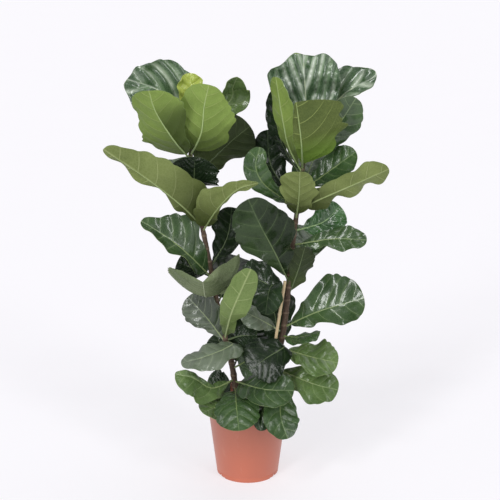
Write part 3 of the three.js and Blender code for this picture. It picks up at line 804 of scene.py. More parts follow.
@dataclass(frozen=True)
class PotFinish:
    """Satin terracotta-coloured plastic, dusty at the rim, and lighter and a little warmer at the foot, with
    painted shade darkening it above.
    """

    # The foot colour is the pot's own; the body colour is darker with painted shade, and the two blend
    # between these heights
    foot: Colour = (0.545, 0.154, 0.089)
    body: Colour = (0.395, 0.126, 0.080)
    foot_to_shade_heights: Edge = (0.01, 0.14)
    cloud: Layer = Layer((0.40, 0.122, 0.078), 0.35)
    clouds: Mottle = Mottle(9.0)
    cloud_edge: Edge = (0.3, 0.75)
    scuff: Layer = Layer((0.60, 0.34, 0.27), 0.22)
    scuffs: Mottle = Mottle(55.0, 6.0, (1.0, 1.0, 0.35), (0.60, 0.80))
    dust: Colour = (0.36, 0.22, 0.19)
    dust_heights: Edge = (0.170, 0.186)
    dust_cloud: Mottle = Mottle(40.0, 4.0)
    dust_least: float = 0.25
    dust_swing: float = 0.5
    grain: Mottle = Mottle(900.0, 2.0)
    rough: float = 0.36
    scuff_rough: float = 0.1
    grain_rough: float = 0.08
    shine: float = 0.45
    relief: Relief = Relief(0.0003, 0.4)

    def material(self, name: str) -> bpy.types.Material:
        """The pot's material, under a name.

        Args:
            name: its name.

        Returns:
            The material.
        """
        shader = Shader(name)
        height = shader.height()
        cloud = shader.mottle(self.clouds)
        grain = shader.mottle(self.grain)
        scuff = shader.mottle(self.scuffs)
        # Painted shade: darker above the foot
        body = shader.mix(height.step(*self.foot_to_shade_heights), self.foot, self.body)
        clouded = shader.lay(body, cloud.step(*self.cloud_edge), self.cloud)
        scuffed = shader.lay(clouded, scuff, self.scuff)
        film = shader.mottle(self.dust_cloud) * self.dust_swing + self.dust_least
        return shader.surface({
            "Base Color": shader.mix(height.step(*self.dust_heights) * film, scuffed, self.dust),
            "Roughness": scuff * self.scuff_rough + grain * self.grain_rough + self.rough,
            "Specular IOR Level": self.shine,
            "Normal": shader.bump((grain + cloud) * 0.5, self.relief),
        })


# ---------------------------------------------------------------- modelling helpers


# Points nearer than this, in millimetres, are one point
DOUBLED = 0.02


def deselect_all() -> None:
    """Leaves object mode's selection empty."""
    bpy.ops.object.select_all(action="DESELECT")


def choose(*pieces: bpy.types.Object) -> None:
    """Selects only these pieces, and makes the first one active.

    Args:
        pieces: the pieces to select.
    """
    deselect_all()
    for piece in pieces:
        piece.select_set(True)
    bpy.context.view_layer.objects.active = pieces[0]


def named(name: str) -> bpy.types.Object:
    """Names the active object and its mesh, and returns it.

    Args:
        name: the new name.

    Returns:
        The active object.
    """
    piece = bpy.context.view_layer.objects.active
    piece.name = name
    piece.data.name = name
    return piece


def add_modifier(piece: bpy.types.Object, kind: str, **settings: Any) -> None:
    """Adds a modifier to a piece, gives it its settings and applies it.

    Args:
        piece: the piece.
        kind: the modifier's type.
        settings: its settings, by name.
    """
    choose(piece)
    bpy.ops.object.modifier_add(type=kind)
    modifier = piece.modifiers[-1]
    for key, setting in settings.items():
        setattr(modifier, key, setting)
    bpy.ops.object.modifier_apply(modifier=modifier.name)


def smooth(piece: bpy.types.Object, degrees: float) -> None:
    """Shades a piece smooth, but for edges sharper than the angle."""
    choose(piece)
    bpy.ops.object.shade_smooth_by_angle(angle=math.radians(degrees))


def face_outwards(piece: bpy.types.Object) -> None:
    """Merges a closed piece's doubled points and turns its faces outwards.

    Args:
        piece: the piece.
    """
    choose(piece)
    bpy.ops.object.mode_set(mode="EDIT")
    bpy.ops.mesh.select_all(action="SELECT")
    bpy.ops.mesh.remove_doubles(threshold=DOUBLED * MM)
    bpy.ops.mesh.normals_make_consistent(inside=False)
    bpy.ops.object.mode_set(mode="OBJECT")


def join(pieces: Sequence[bpy.types.Object], name: str) -> bpy.types.Object:
    """Joins pieces into the first one and names it.

    Args:
        pieces: the pieces, of which the first takes in the others.
        name: its new name.

    Returns:
        The joined piece.
    """
    choose(*pieces)
    if len(pieces) > 1:
        bpy.ops.object.join()
    return named(name)


def dress(piece: bpy.types.Object, *materials: bpy.types.Material) -> bpy.types.Object:
    """Gives a piece its materials, in slot order.

    Args:
        piece: the piece.
        materials: its materials.

    Returns:
        The piece.
    """
    piece.data.materials.clear()
    for material in materials:
        piece.data.materials.append(material)
    return piece


def tube(name: str, points: Sequence[Vector], radii: Sequence[float], quarter: int) -> bpy.types.Object:
    """A closed round tube along points.

    Args:
        name: the new piece's name.
        points: the middle of each ring.
        radii: each ring's radius.
        quarter: faces in a quarter of its round.

    Returns:
        The tube, as a mesh.
    """
    deselect_all()
    bpy.ops.curve.primitive_bezier_curve_add(location=(0.0, 0.0, 0.0))
    curve = bpy.context.view_layer.objects.active
    curve.data.splines.clear()
    spline = curve.data.splines.new("POLY")
    spline.points.add(len(points) - 1)
    for ring, point, radius in zip(spline.points, points, radii):
        ring.co = (*point, 1.0)
        ring.radius = radius
    curve.data.dimensions = "3D"
    curve.data.twist_mode = "MINIMUM"
    curve.data.bevel_depth = 1.0
    curve.data.bevel_resolution = quarter - 1
    curve.data.use_fill_caps = True
    bpy.ops.object.convert(target="MESH")
    piece = named(name)
    face_outwards(piece)
    return piece


def settle(piece: bpy.types.Object, slot: str, *nodes: str) -> bpy.types.Object:
    """Sets a finished piece on the fixed body, in place of the nodes it stands for.

    Args:
        piece: the piece.
        slot: not used.
        nodes: the nodes that it replaces.

    Returns:
        The piece.
    """
    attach(piece, BODY)
    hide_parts(*nodes)
    LOG.info("%s: %d faces", piece.name, len(piece.data.polygons))
    return piece


class Route:
    """A smooth curve through points given in millimetres."""

    SAMPLES = 240
    STEP = 0.004

    def __init__(self, points: Sequence[Triple]) -> None:
        """Lays the curve through the points and measures it.

        Args:
            points: the points, in order.
        """
        given = [Vector(p) * MM for p in points]
        self.points = [2 * given[0] - given[1], *given, 2 * given[-1] - given[-2]]
        self.spans = len(given) - 1
        self.line = [self._at(i / self.SAMPLES) for i in range(self.SAMPLES + 1)]
        self.lengths = [0.0]
        for a, b in zip(self.line, self.line[1:]):
            self.lengths.append(self.lengths[-1] + (b - a).length)

    @property
    def length(self) -> float:
        """The curve's length."""
        return self.lengths[-1]

    def _at(self, share: float) -> Vector:
        """The point at a share of the curve's spans.

        Args:
            share: the share, from 0 to 1.

        Returns:
            The point, in metres.
        """
        span = min(int(share * self.spans), self.spans - 1)
        t = share * self.spans - span
        a, b, c, d = self.points[span:span + 4]
        out = (c - a) / 2
        into = (d - b) / 2
        return (
            b + out * t
            + (3 * (c - b) - 2 * out - into) * t * t
            + (2 * (b - c) + out + into) * t ** 3
        )

    def _between(self, marks: Sequence[float], value: float) -> Vector:
        """The point where rising marks, one for each point of the line, reach a value.

        Args:
            marks: the marks.
            value: the value they reach.

        Returns:
            The point, in metres.
        """
        low, high = 0, len(marks) - 1
        while high - low > 1:
            middle = (low + high) // 2
            low, high = (middle, high) if marks[middle] <= value else (low, middle)
        span = marks[high] - marks[low]
        return self.line[low].lerp(self.line[high], (value - marks[low]) / span if span else 0.0)

    def at_share(self, share: float) -> Vector:
        """The point at a share of the curve's length."""
        return self._between(self.lengths, share * self.length)

    def at_height(self, height: float) -> Vector:
        """The point of an upward curve at a height."""
        return self._between([p.z for p in self.line], height)

    def forward(self, share: float) -> Vector:
        """The curve's direction at a share of its length.

        Args:
            share: the share, from 0 to 1.

        Returns:
            The direction, as a unit vector.
        """
        ahead = self.at_share(min(1.0, share + self.STEP))
        behind = self.at_share(max(0.0, share - self.STEP))
        return (ahead - behind).normalized()


# ---------------------------------------------------------------- the plant


@dataclass
class Trunk:
    """A woody trunk that thins upwards, ringed by old leaf scars. Sizes are in millimetres."""

    name: str
    route: Sequence[Triple]
    foot: float
    top: float
    seed: int
    ring_step: float = 2.5
    scar_spacing: float = 31.0
    scar_swell: float = 1.1
    scar_sharpness: int = 10
    scar_thinning: float = 0.4
    wander: float = 0.5
    wander_length: float = 14.0
    grain: Triple = (260, 260, 70)
    grain_depth: float = 0.35
    quarter: int = 6
    bud_quarter: int = 4
    smooth_angle: float = 60
    line: Route = field(init=False)

    # The bud's rings, each a height and a share of the trunk's top radius, and then its tip, a height and
    # a radius. Heights and the tip's radius are in millimetres
    BUD_RINGS = ((0.0, 1.0), (6.0, 1.05), (12.0, 0.85), (18.0, 0.5), (23.0, 0.25))
    BUD_TIP = (27.0, 0.3)
    BUD_SINK = 2.0

    def __post_init__(self) -> None:
        """Lays the trunk's route."""
        self.line = Route(self.route)

    def radius(self, height: float) -> float:
        """The trunk's radius at a height, both in millimetres.

        Args:
            height: the height above the ground.

        Returns:
            The radius.
        """
        low, high = self.route[0][2], self.route[-1][2]
        share = (height - low) / (high - low)
        scar = self.scar_swell * math.cos(math.pi * height / self.scar_spacing) ** self.scar_sharpness
        wander = noise.noise(Vector((self.seed, 0.0, height / self.wander_length))) * self.wander
        taper = self.foot + (self.top - self.foot) * share
        return taper + scar * (1 - self.scar_thinning * share) + wander

    def bud(self) -> bpy.types.Object:
        """The pointed brown sheath of the growing tip.

        Returns:
            The bud.
        """
        tip = self.line.at_share(1.0)
        rings = [*((height, self.top * share) for height, share in self.BUD_RINGS), self.BUD_TIP]
        points = [tip + Vector((0.0, 0.0, (height - self.BUD_SINK) * MM)) for height, _ in rings]
        sheath = tube(f"{self.name}_bud", points, [radius * MM for _, radius in rings], self.bud_quarter)
        return dress(sheath, BudFinish().material("bud_sheath"))

    def build(self) -> bpy.types.Object:
        """Models the trunk with its rough bark and its bud.

        Returns:
            The trunk and its bud in one piece.
        """
        low, high = self.route[0][2], self.route[-1][2]
        count = round((high - low) / self.ring_step)
        heights = [low + (high - low) * i / count for i in range(count + 1)]
        points = [self.line.at_height(h * MM) for h in heights]
        piece = tube(self.name, points, [self.radius(h) * MM for h in heights], self.quarter)
        for vertex in piece.data.vertices:
            x, y, z = (place * scale for place, scale in zip(vertex.co, self.grain))
            grain = noise.noise(Vector((x, y, z)))
            vertex.co += vertex.normal * grain * self.grain_depth * MM
        dress(piece, BarkFinish().material(f"{self.name}_bark"))
        trunk = join([piece, self.bud()], self.name)
        smooth(trunk, self.smooth_angle)
        return settle(trunk, "bark", self.name.replace("fig_", ""))


@dataclass(frozen=True)
class EdgeNoise:
    """Noise along a blade's edges, apart on its two sides.

    Its scale is in waves along the blade, its shift sets one leaf's noise apart from another's, and left
    and right pick each side's layer of the noise.
    """

    scale: float
    shift: float
    left: float
    right: float


class Blade:
    """A leaf blade's surface: fiddle outline, cupped sides, waved edge and puckers between its veins."""

    ROWS = 74
    COLUMNS = 34
    EVEN_ROWS = 0.45
    STALK = 22.0
    THICKNESS = 0.9
    NARROWEST = 0.8
    WAIST_PLACE = 0.36
    WAIST_DEPTH = 0.18
    WAIST_LENGTH = 0.13
    SHOULDERS = 0.4
    UNEVEN = 0.11
    UNEVEN_NOISE = EdgeNoise(5.5, 5, 9, 2)
    OUTLINE_PLACES = (0.0, 0.1, 0.3, 0.5, 0.7, 0.9, 1.0)
    FACE_SHARE = 0.54
    SPREAD = 0.18
    FLAT_BEND = 1e-6
    WAVE_GROWTH = 1.5
    WAVE_LAG = 1.9
    WAVE_FADE = 6.0
    HUMP_TURNS = 16.3
    HUMP_LAG = 1.66
    HUMP_GROWTH = 2
    SCALLOP_MIDDLE = 0.6
    SCALLOP_FADE = 5

    # The skin's folds: how round they are, and where on the half width and the length they fade
    FOLD_ROUND = 0.8
    FOLD_START = 0.25
    FOLD_FULL = 0.75
    FOLD_EDGE_LOSS = 0.35
    FOLD_FOOT = 0.2
    FOLD_TIP = 0.12
    DIMPLE_SCALE = (9, 4)
    DIMPLE_SHIFT = 7
    DIMPLE_SHARE = 0.35

    # The ripples of the very edge
    RUFFLE_NOISE = EdgeNoise(6.5, 3, 5, 1)
    RUFFLE_GROWTH = 4
    RUFFLE_FOOT = 0.15
    RUFFLE_TIP = 0.1

    def __init__(self, leaf: "Leaf", trunk: Trunk) -> None:
        """Lays the leaf's midrib from its trunk, and frames it.

        Args:
            leaf: the leaf it belongs to.
            trunk: the trunk the leaf grows from.
        """
        self.leaf = leaf
        start = trunk.line.at_height(leaf.at * MM) / MM
        self.line = Route([tuple(start), *leaf.midrib])
        self.stalk = self.STALK * MM / self.line.length
        self.length = self.line.length / MM - self.STALK
        self.frames = self._frames()

    def share_of(self, row: int) -> float:
        """The share of the blade's length at a row, with rows closer at both ends."""
        even = row / self.ROWS
        return self.EVEN_ROWS * even + (1 - self.EVEN_ROWS) * (0.5 - 0.5 * math.cos(math.pi * even))

    def _frames(self) -> list[tuple[Vector, Vector, Vector]]:
        """The point, side and up of each row, with up as near the leaf's face as it can be.

        Returns:
            Each row's point in metres, and its two directions.
        """
        shares = [self.stalk + (1 - self.stalk) * self.share_of(i) for i in range(self.ROWS + 1)]
        forward = [self.line.forward(share) for share in shares]
        middle = min(range(self.ROWS + 1), key=lambda i: abs(self.share_of(i) - self.FACE_SHARE))
        up = [Vector()] * (self.ROWS + 1)
        up[middle] = self._across(Vector(self.leaf.face), forward[middle])
        for i in range(middle + 1, self.ROWS + 1):
            up[i] = self._across(up[i - 1], forward[i])
        for i in range(middle - 1, -1, -1):
            up[i] = self._across(up[i + 1], forward[i])
        return [
            (self.line.at_share(share), along.cross(over), over)
            for share, along, over in zip(shares, forward, up)
        ]

    @staticmethod
    def _across(vector: Vector, along: Vector) -> Vector:
        """The vector with what runs along another direction taken out."""
        return (vector - along * vector.dot(along)).normalized()

    def outline(self, share: float, across: float) -> float:
        """How far one side of this leaf departs from the usual outline, as a factor.

        Args:
            share: a share of the blade's length.
            across: a share of the half width, from -1 on the left to 1 on the right.

        Returns:
            The factor.
        """
        side = self.leaf.left if across < 0 else self.leaf.right
        factors = (side[0], *side, side[-1])
        places = self.OUTLINE_PLACES
        for i in range(len(places) - 2, -1, -1):
            if share >= places[i]:
                part = min(1.0, (share - places[i]) / (places[i + 1] - places[i]))
                ease = 0.5 - 0.5 * math.cos(math.pi * part)
                return factors[i] + (factors[i + 1] - factors[i]) * ease
        return factors[0]

    def half_width(self, share: float, across: float) -> float:
        """Half the blade's width at a share of its length, in millimetres, on the side of across.

        Args:
            share: a share of the blade's length.
            across: a share of the half width, from -1 on the left to 1 on the right.

        Returns:
            The half width.
        """
        skew = math.log(0.5) / math.log(self.leaf.widest)
        swell = math.sin(math.pi * min(share, 1.0) ** skew) ** self.SHOULDERS if share < 1 else 0.0
        waist = 1 - self.WAIST_DEPTH * math.exp(-(((share - self.WAIST_PLACE) / self.WAIST_LENGTH) ** 2))
        uneven = 1 + self.UNEVEN * self._edge_noise(self.UNEVEN_NOISE, share, across)
        half = self.leaf.width / 2 * swell * waist * uneven * self.outline(share, across)
        return max(half, self.NARROWEST)

    def _edge_noise(self, kind: EdgeNoise, share: float, across: float) -> float:
        """Noise from -1 to 1 at a share of the blade's length, on the side of across.

        Args:
            kind: the noise.
            share: a share of the blade's length.
            across: a share of the half width, from -1 on the left to 1 on the right.

        Returns:
            The noise.
        """
        along = share * kind.scale + self.leaf.phase * kind.shift
        return noise.noise(Vector((along, self.leaf.width, kind.left if across < 0 else kind.right)))

    def turns(self, share: float, across: float) -> float:
        """The count of side veins at a place of the blade.

        Args:
            share: a share of the blade's length.
            across: a share of the half width, from -1 on the left to 1 on the right.

        Returns:
            The count.
        """
        aside = abs(across) * self.half_width(share, across) / self.length
        finish = self.leaf.tone.value
        return vein_turns(share, aside, 1.0 if across < 0 else 0.0, finish.vein_count, finish.lean)

    def pucker(self, share: float, across: float) -> float:
        """How far the skin swells between the side veins, in millimetres.

        Args:
            share: a share of the blade's length.
            across: a share of the half width, from -1 on the left to 1 on the right.

        Returns:
            The swell.
        """
        size = abs(across)
        swell = abs(math.sin(math.pi * self.turns(share, across))) ** self.FOLD_ROUND
        inner = min(1.0, size / self.FOLD_START)
        outer = 1 - max(0.0, size - self.FOLD_FULL) / (1 - self.FOLD_FULL) * self.FOLD_EDGE_LOSS
        ends = min(1.0, share / self.FOLD_FOOT, (1 - share) / self.FOLD_TIP)
        along = share * self.DIMPLE_SCALE[0] + self.leaf.phase * self.DIMPLE_SHIFT
        dimple = noise.noise(Vector((along, across * self.DIMPLE_SCALE[1], self.leaf.width)))
        fold = self.leaf.fold
        return (fold * swell * inner * outer + dimple * fold * self.DIMPLE_SHARE) * ends

    def ruffle(self, share: float, across: float) -> float:
        """How far the very edge ripples, in millimetres.

        Args:
            share: a share of the blade's length.
            across: a share of the half width, from -1 on the left to 1 on the right.

        Returns:
            The ripple.
        """
        ripple = self._edge_noise(self.RUFFLE_NOISE, share, across)
        ends = min(1.0, share / self.RUFFLE_FOOT, (1 - share) / self.RUFFLE_TIP)
        return abs(across) ** self.RUFFLE_GROWTH * ripple * self.leaf.ruffle * ends

    def point(self, row: int, across: float) -> Vector:
        """A point of the blade's middle layer.

        Args:
            row: which row along the blade.
            across: share of the half width, from -1 to 1.

        Returns:
            The point, in metres.
        """
        leaf = self.leaf
        share = self.share_of(row)
        centre, side, up = self.frames[row]
        scallop = abs(math.sin(math.pi * self.turns(share, across))) - self.SCALLOP_MIDDLE
        notch = leaf.scallop * scallop * min(1.0, (1 - share) * self.SCALLOP_FADE)
        half = self.half_width(share, across) * (1 + notch)
        spread = min(1.0, share / self.SPREAD)
        cup = leaf.cup if across < 0 or leaf.right_cup is None else leaf.right_cup
        bend = cup * spread * across
        curled = abs(bend) > self.FLAT_BEND
        reach = half * across * math.sin(bend) / bend if curled else half * across
        lift = half * across * (1 - math.cos(bend)) / bend if curled else 0.0
        turn = 2 * math.pi * leaf.waves * share + leaf.phase + (self.WAVE_LAG if across < 0 else 0.0)
        swing = leaf.wave * spread * abs(across) ** self.WAVE_GROWTH
        height = swing * math.sin(turn) * min(1.0, self.WAVE_FADE * (1 - share))
        height += self.pucker(share, across) + self.ruffle(share, across)
        sideways = reach - height * math.sin(bend)
        upward = lift + height * math.cos(bend)
        crest = math.cos(self.HUMP_TURNS * sideways / leaf.width + self.HUMP_LAG)
        hump = leaf.humps * share ** self.HUMP_GROWTH * crest
        onward = side.cross(up) * -hump
        return centre + (side * sideways + up * upward + onward) * MM


EVEN = (1.0, 1.0, 1.0, 1.0, 1.0)


@dataclass(frozen=True)
class Leaf:
    """One leaf. Lengths are in millimetres.

    It leaves its trunk at a height, and its midrib passes through the points given. Its upper face looks
    along face at mid blade. Its sides cup up by an angle, or down if that is minus, its edges wave and
    ruffle, and its skin folds up between its veins. It is widest at a share of its length, and the factors
    left and right widen or narrow its two sides, from its foot to its tip. Scallops follow the veins along
    its edge, and humps push its tip edge out and in along its length.
    """

    name: str
    trunk: str
    at: float
    midrib: Sequence[Triple]
    face: Triple
    width: float
    cup: float
    wave: float
    waves: float
    phase: float
    widest: float = 0.65
    right_cup: Optional[float] = None
    left: Sequence[float] = EVEN
    right: Sequence[float] = EVEN
    fold: float = 2.2
    ruffle: float = 6.5
    scallop: float = 0.08
    humps: float = 0.0
    tone: Tone = Tone.MID

    # The stalk, and the midrib that thins towards the tip
    STALK_RINGS = 6
    STALK_RADIUS = 2.3
    RIB_STEP = 2
    RIB_RADIUS = 1.9
    RIB_TAPER = 0.8
    RIB_TIP = 0.35
    RIB_SINK = 0.45
    RIB_SINK_SOON = 8
    RIB_QUARTER = 3
    SMOOTH_ANGLE = 55

    def build(
        self, trunks: dict[str, Trunk], finishes: dict[Tone, list[bpy.types.Material]],
    ) -> bpy.types.Object:
        """Models the leaf.

        Args:
            trunks: the plant's trunks, by name.
            finishes: each tone's materials.

        Returns:
            The leaf: blade, midrib and stalk in one piece.
        """
        blade = Blade(self, trunks[self.trunk])
        sheet = self._sheet(blade)
        rib = self._rib(blade)
        upper, under, margin, vein = finishes[self.tone]
        dress(sheet, upper, under, margin)
        dress(rib, vein)
        add_modifier(
            sheet, "SOLIDIFY", thickness=Blade.THICKNESS * MM, offset=0.0,
            material_offset=1, material_offset_rim=2,
        )
        leaf = join([sheet, rib], f"fig_leaf_{self.name}")
        smooth(leaf, self.SMOOTH_ANGLE)
        slot = "new_leaf" if self.tone is Tone.NEW else "leaf"
        return settle(leaf, slot, f"leaf_{self.name}")

    def _sheet(self, blade: Blade) -> bpy.types.Object:
        """The blade as one thin sheet, its upper side facing up, with its two UV maps.

        Args:
            blade: the blade's surface.

        Returns:
            The sheet.
        """
        deselect_all()
        bpy.ops.mesh.primitive_grid_add(
            x_subdivisions=Blade.COLUMNS, y_subdivisions=Blade.ROWS, size=2.0, calc_uvs=True,
        )
        sheet = named(f"{self.name}_sheet")
        mesh = sheet.data
        flat = [(v.co.x, round((v.co.y + 1) / 2 * Blade.ROWS)) for v in mesh.vertices]
        shares = [blade.share_of(row) for _, row in flat]
        for vertex, (across, row) in zip(mesh.vertices, flat):
            vertex.co = blade.point(row, across)
        mesh.uv_layers[0].name = "Blade"
        mesh.uv_layers.new(name="Flat")
        ratio, size = mesh.uv_layers["Blade"].data, mesh.uv_layers["Flat"].data
        for corner in mesh.loops:
            across, _ = flat[corner.vertex_index]
            share = shares[corner.vertex_index]
            ratio[corner.index].uv = (0.5 + across / 2, share)
            size[corner.index].uv = (across * blade.half_width(share, across) / blade.length, share)
        return sheet

    def _rib(self, blade: Blade) -> bpy.types.Object:
        """The stalk, and the midrib that stands out below the blade.

        Args:
            blade: the blade's surface.

        Returns:
            Both in one tube.
        """
        stalk = [blade.line.at_share(blade.stalk * i / self.STALK_RINGS) for i in range(self.STALK_RINGS)]
        radii = [self.STALK_RADIUS] * self.STALK_RINGS
        midrib = []
        for row in range(0, Blade.ROWS - 2, self.RIB_STEP):
            centre, _, up = blade.frames[row]
            share = blade.share_of(row)
            midrib.append(centre - up * self.RIB_SINK * MM * min(1.0, share * self.RIB_SINK_SOON))
            radii.append(self.RIB_RADIUS * (1 - share) ** self.RIB_TAPER + self.RIB_TIP)
        return tube(f"{self.name}_rib", [*stalk, *midrib], [r * MM for r in radii], self.RIB_QUARTER)


TRUNKS = {
    "left": Trunk("fig_stem_left", (
        (-20, -4, 80), (-26, -4, 190), (-38, -4, 280), (-53, -3, 341), (-68, 0, 408), (-87, 0, 518),
        (-100, 0, 590), (-117, 0, 673), (-127, 0, 742), (-128, 2, 800), (-126, 4, 842),
    ), foot=7.6, top=4.5, seed=3),
    "right": Trunk("fig_stem_right", (
        (34, 6, 80), (47, 5, 193), (66, 3, 275), (84, 0, 354), (95, 0, 458), (101, 0, 530),
        (108, 0, 602), (117, 0, 670), (125, 0, 742), (129, 2, 790), (131, 4, 836),
    ), foot=8.8, top=4.6, seed=7),
}

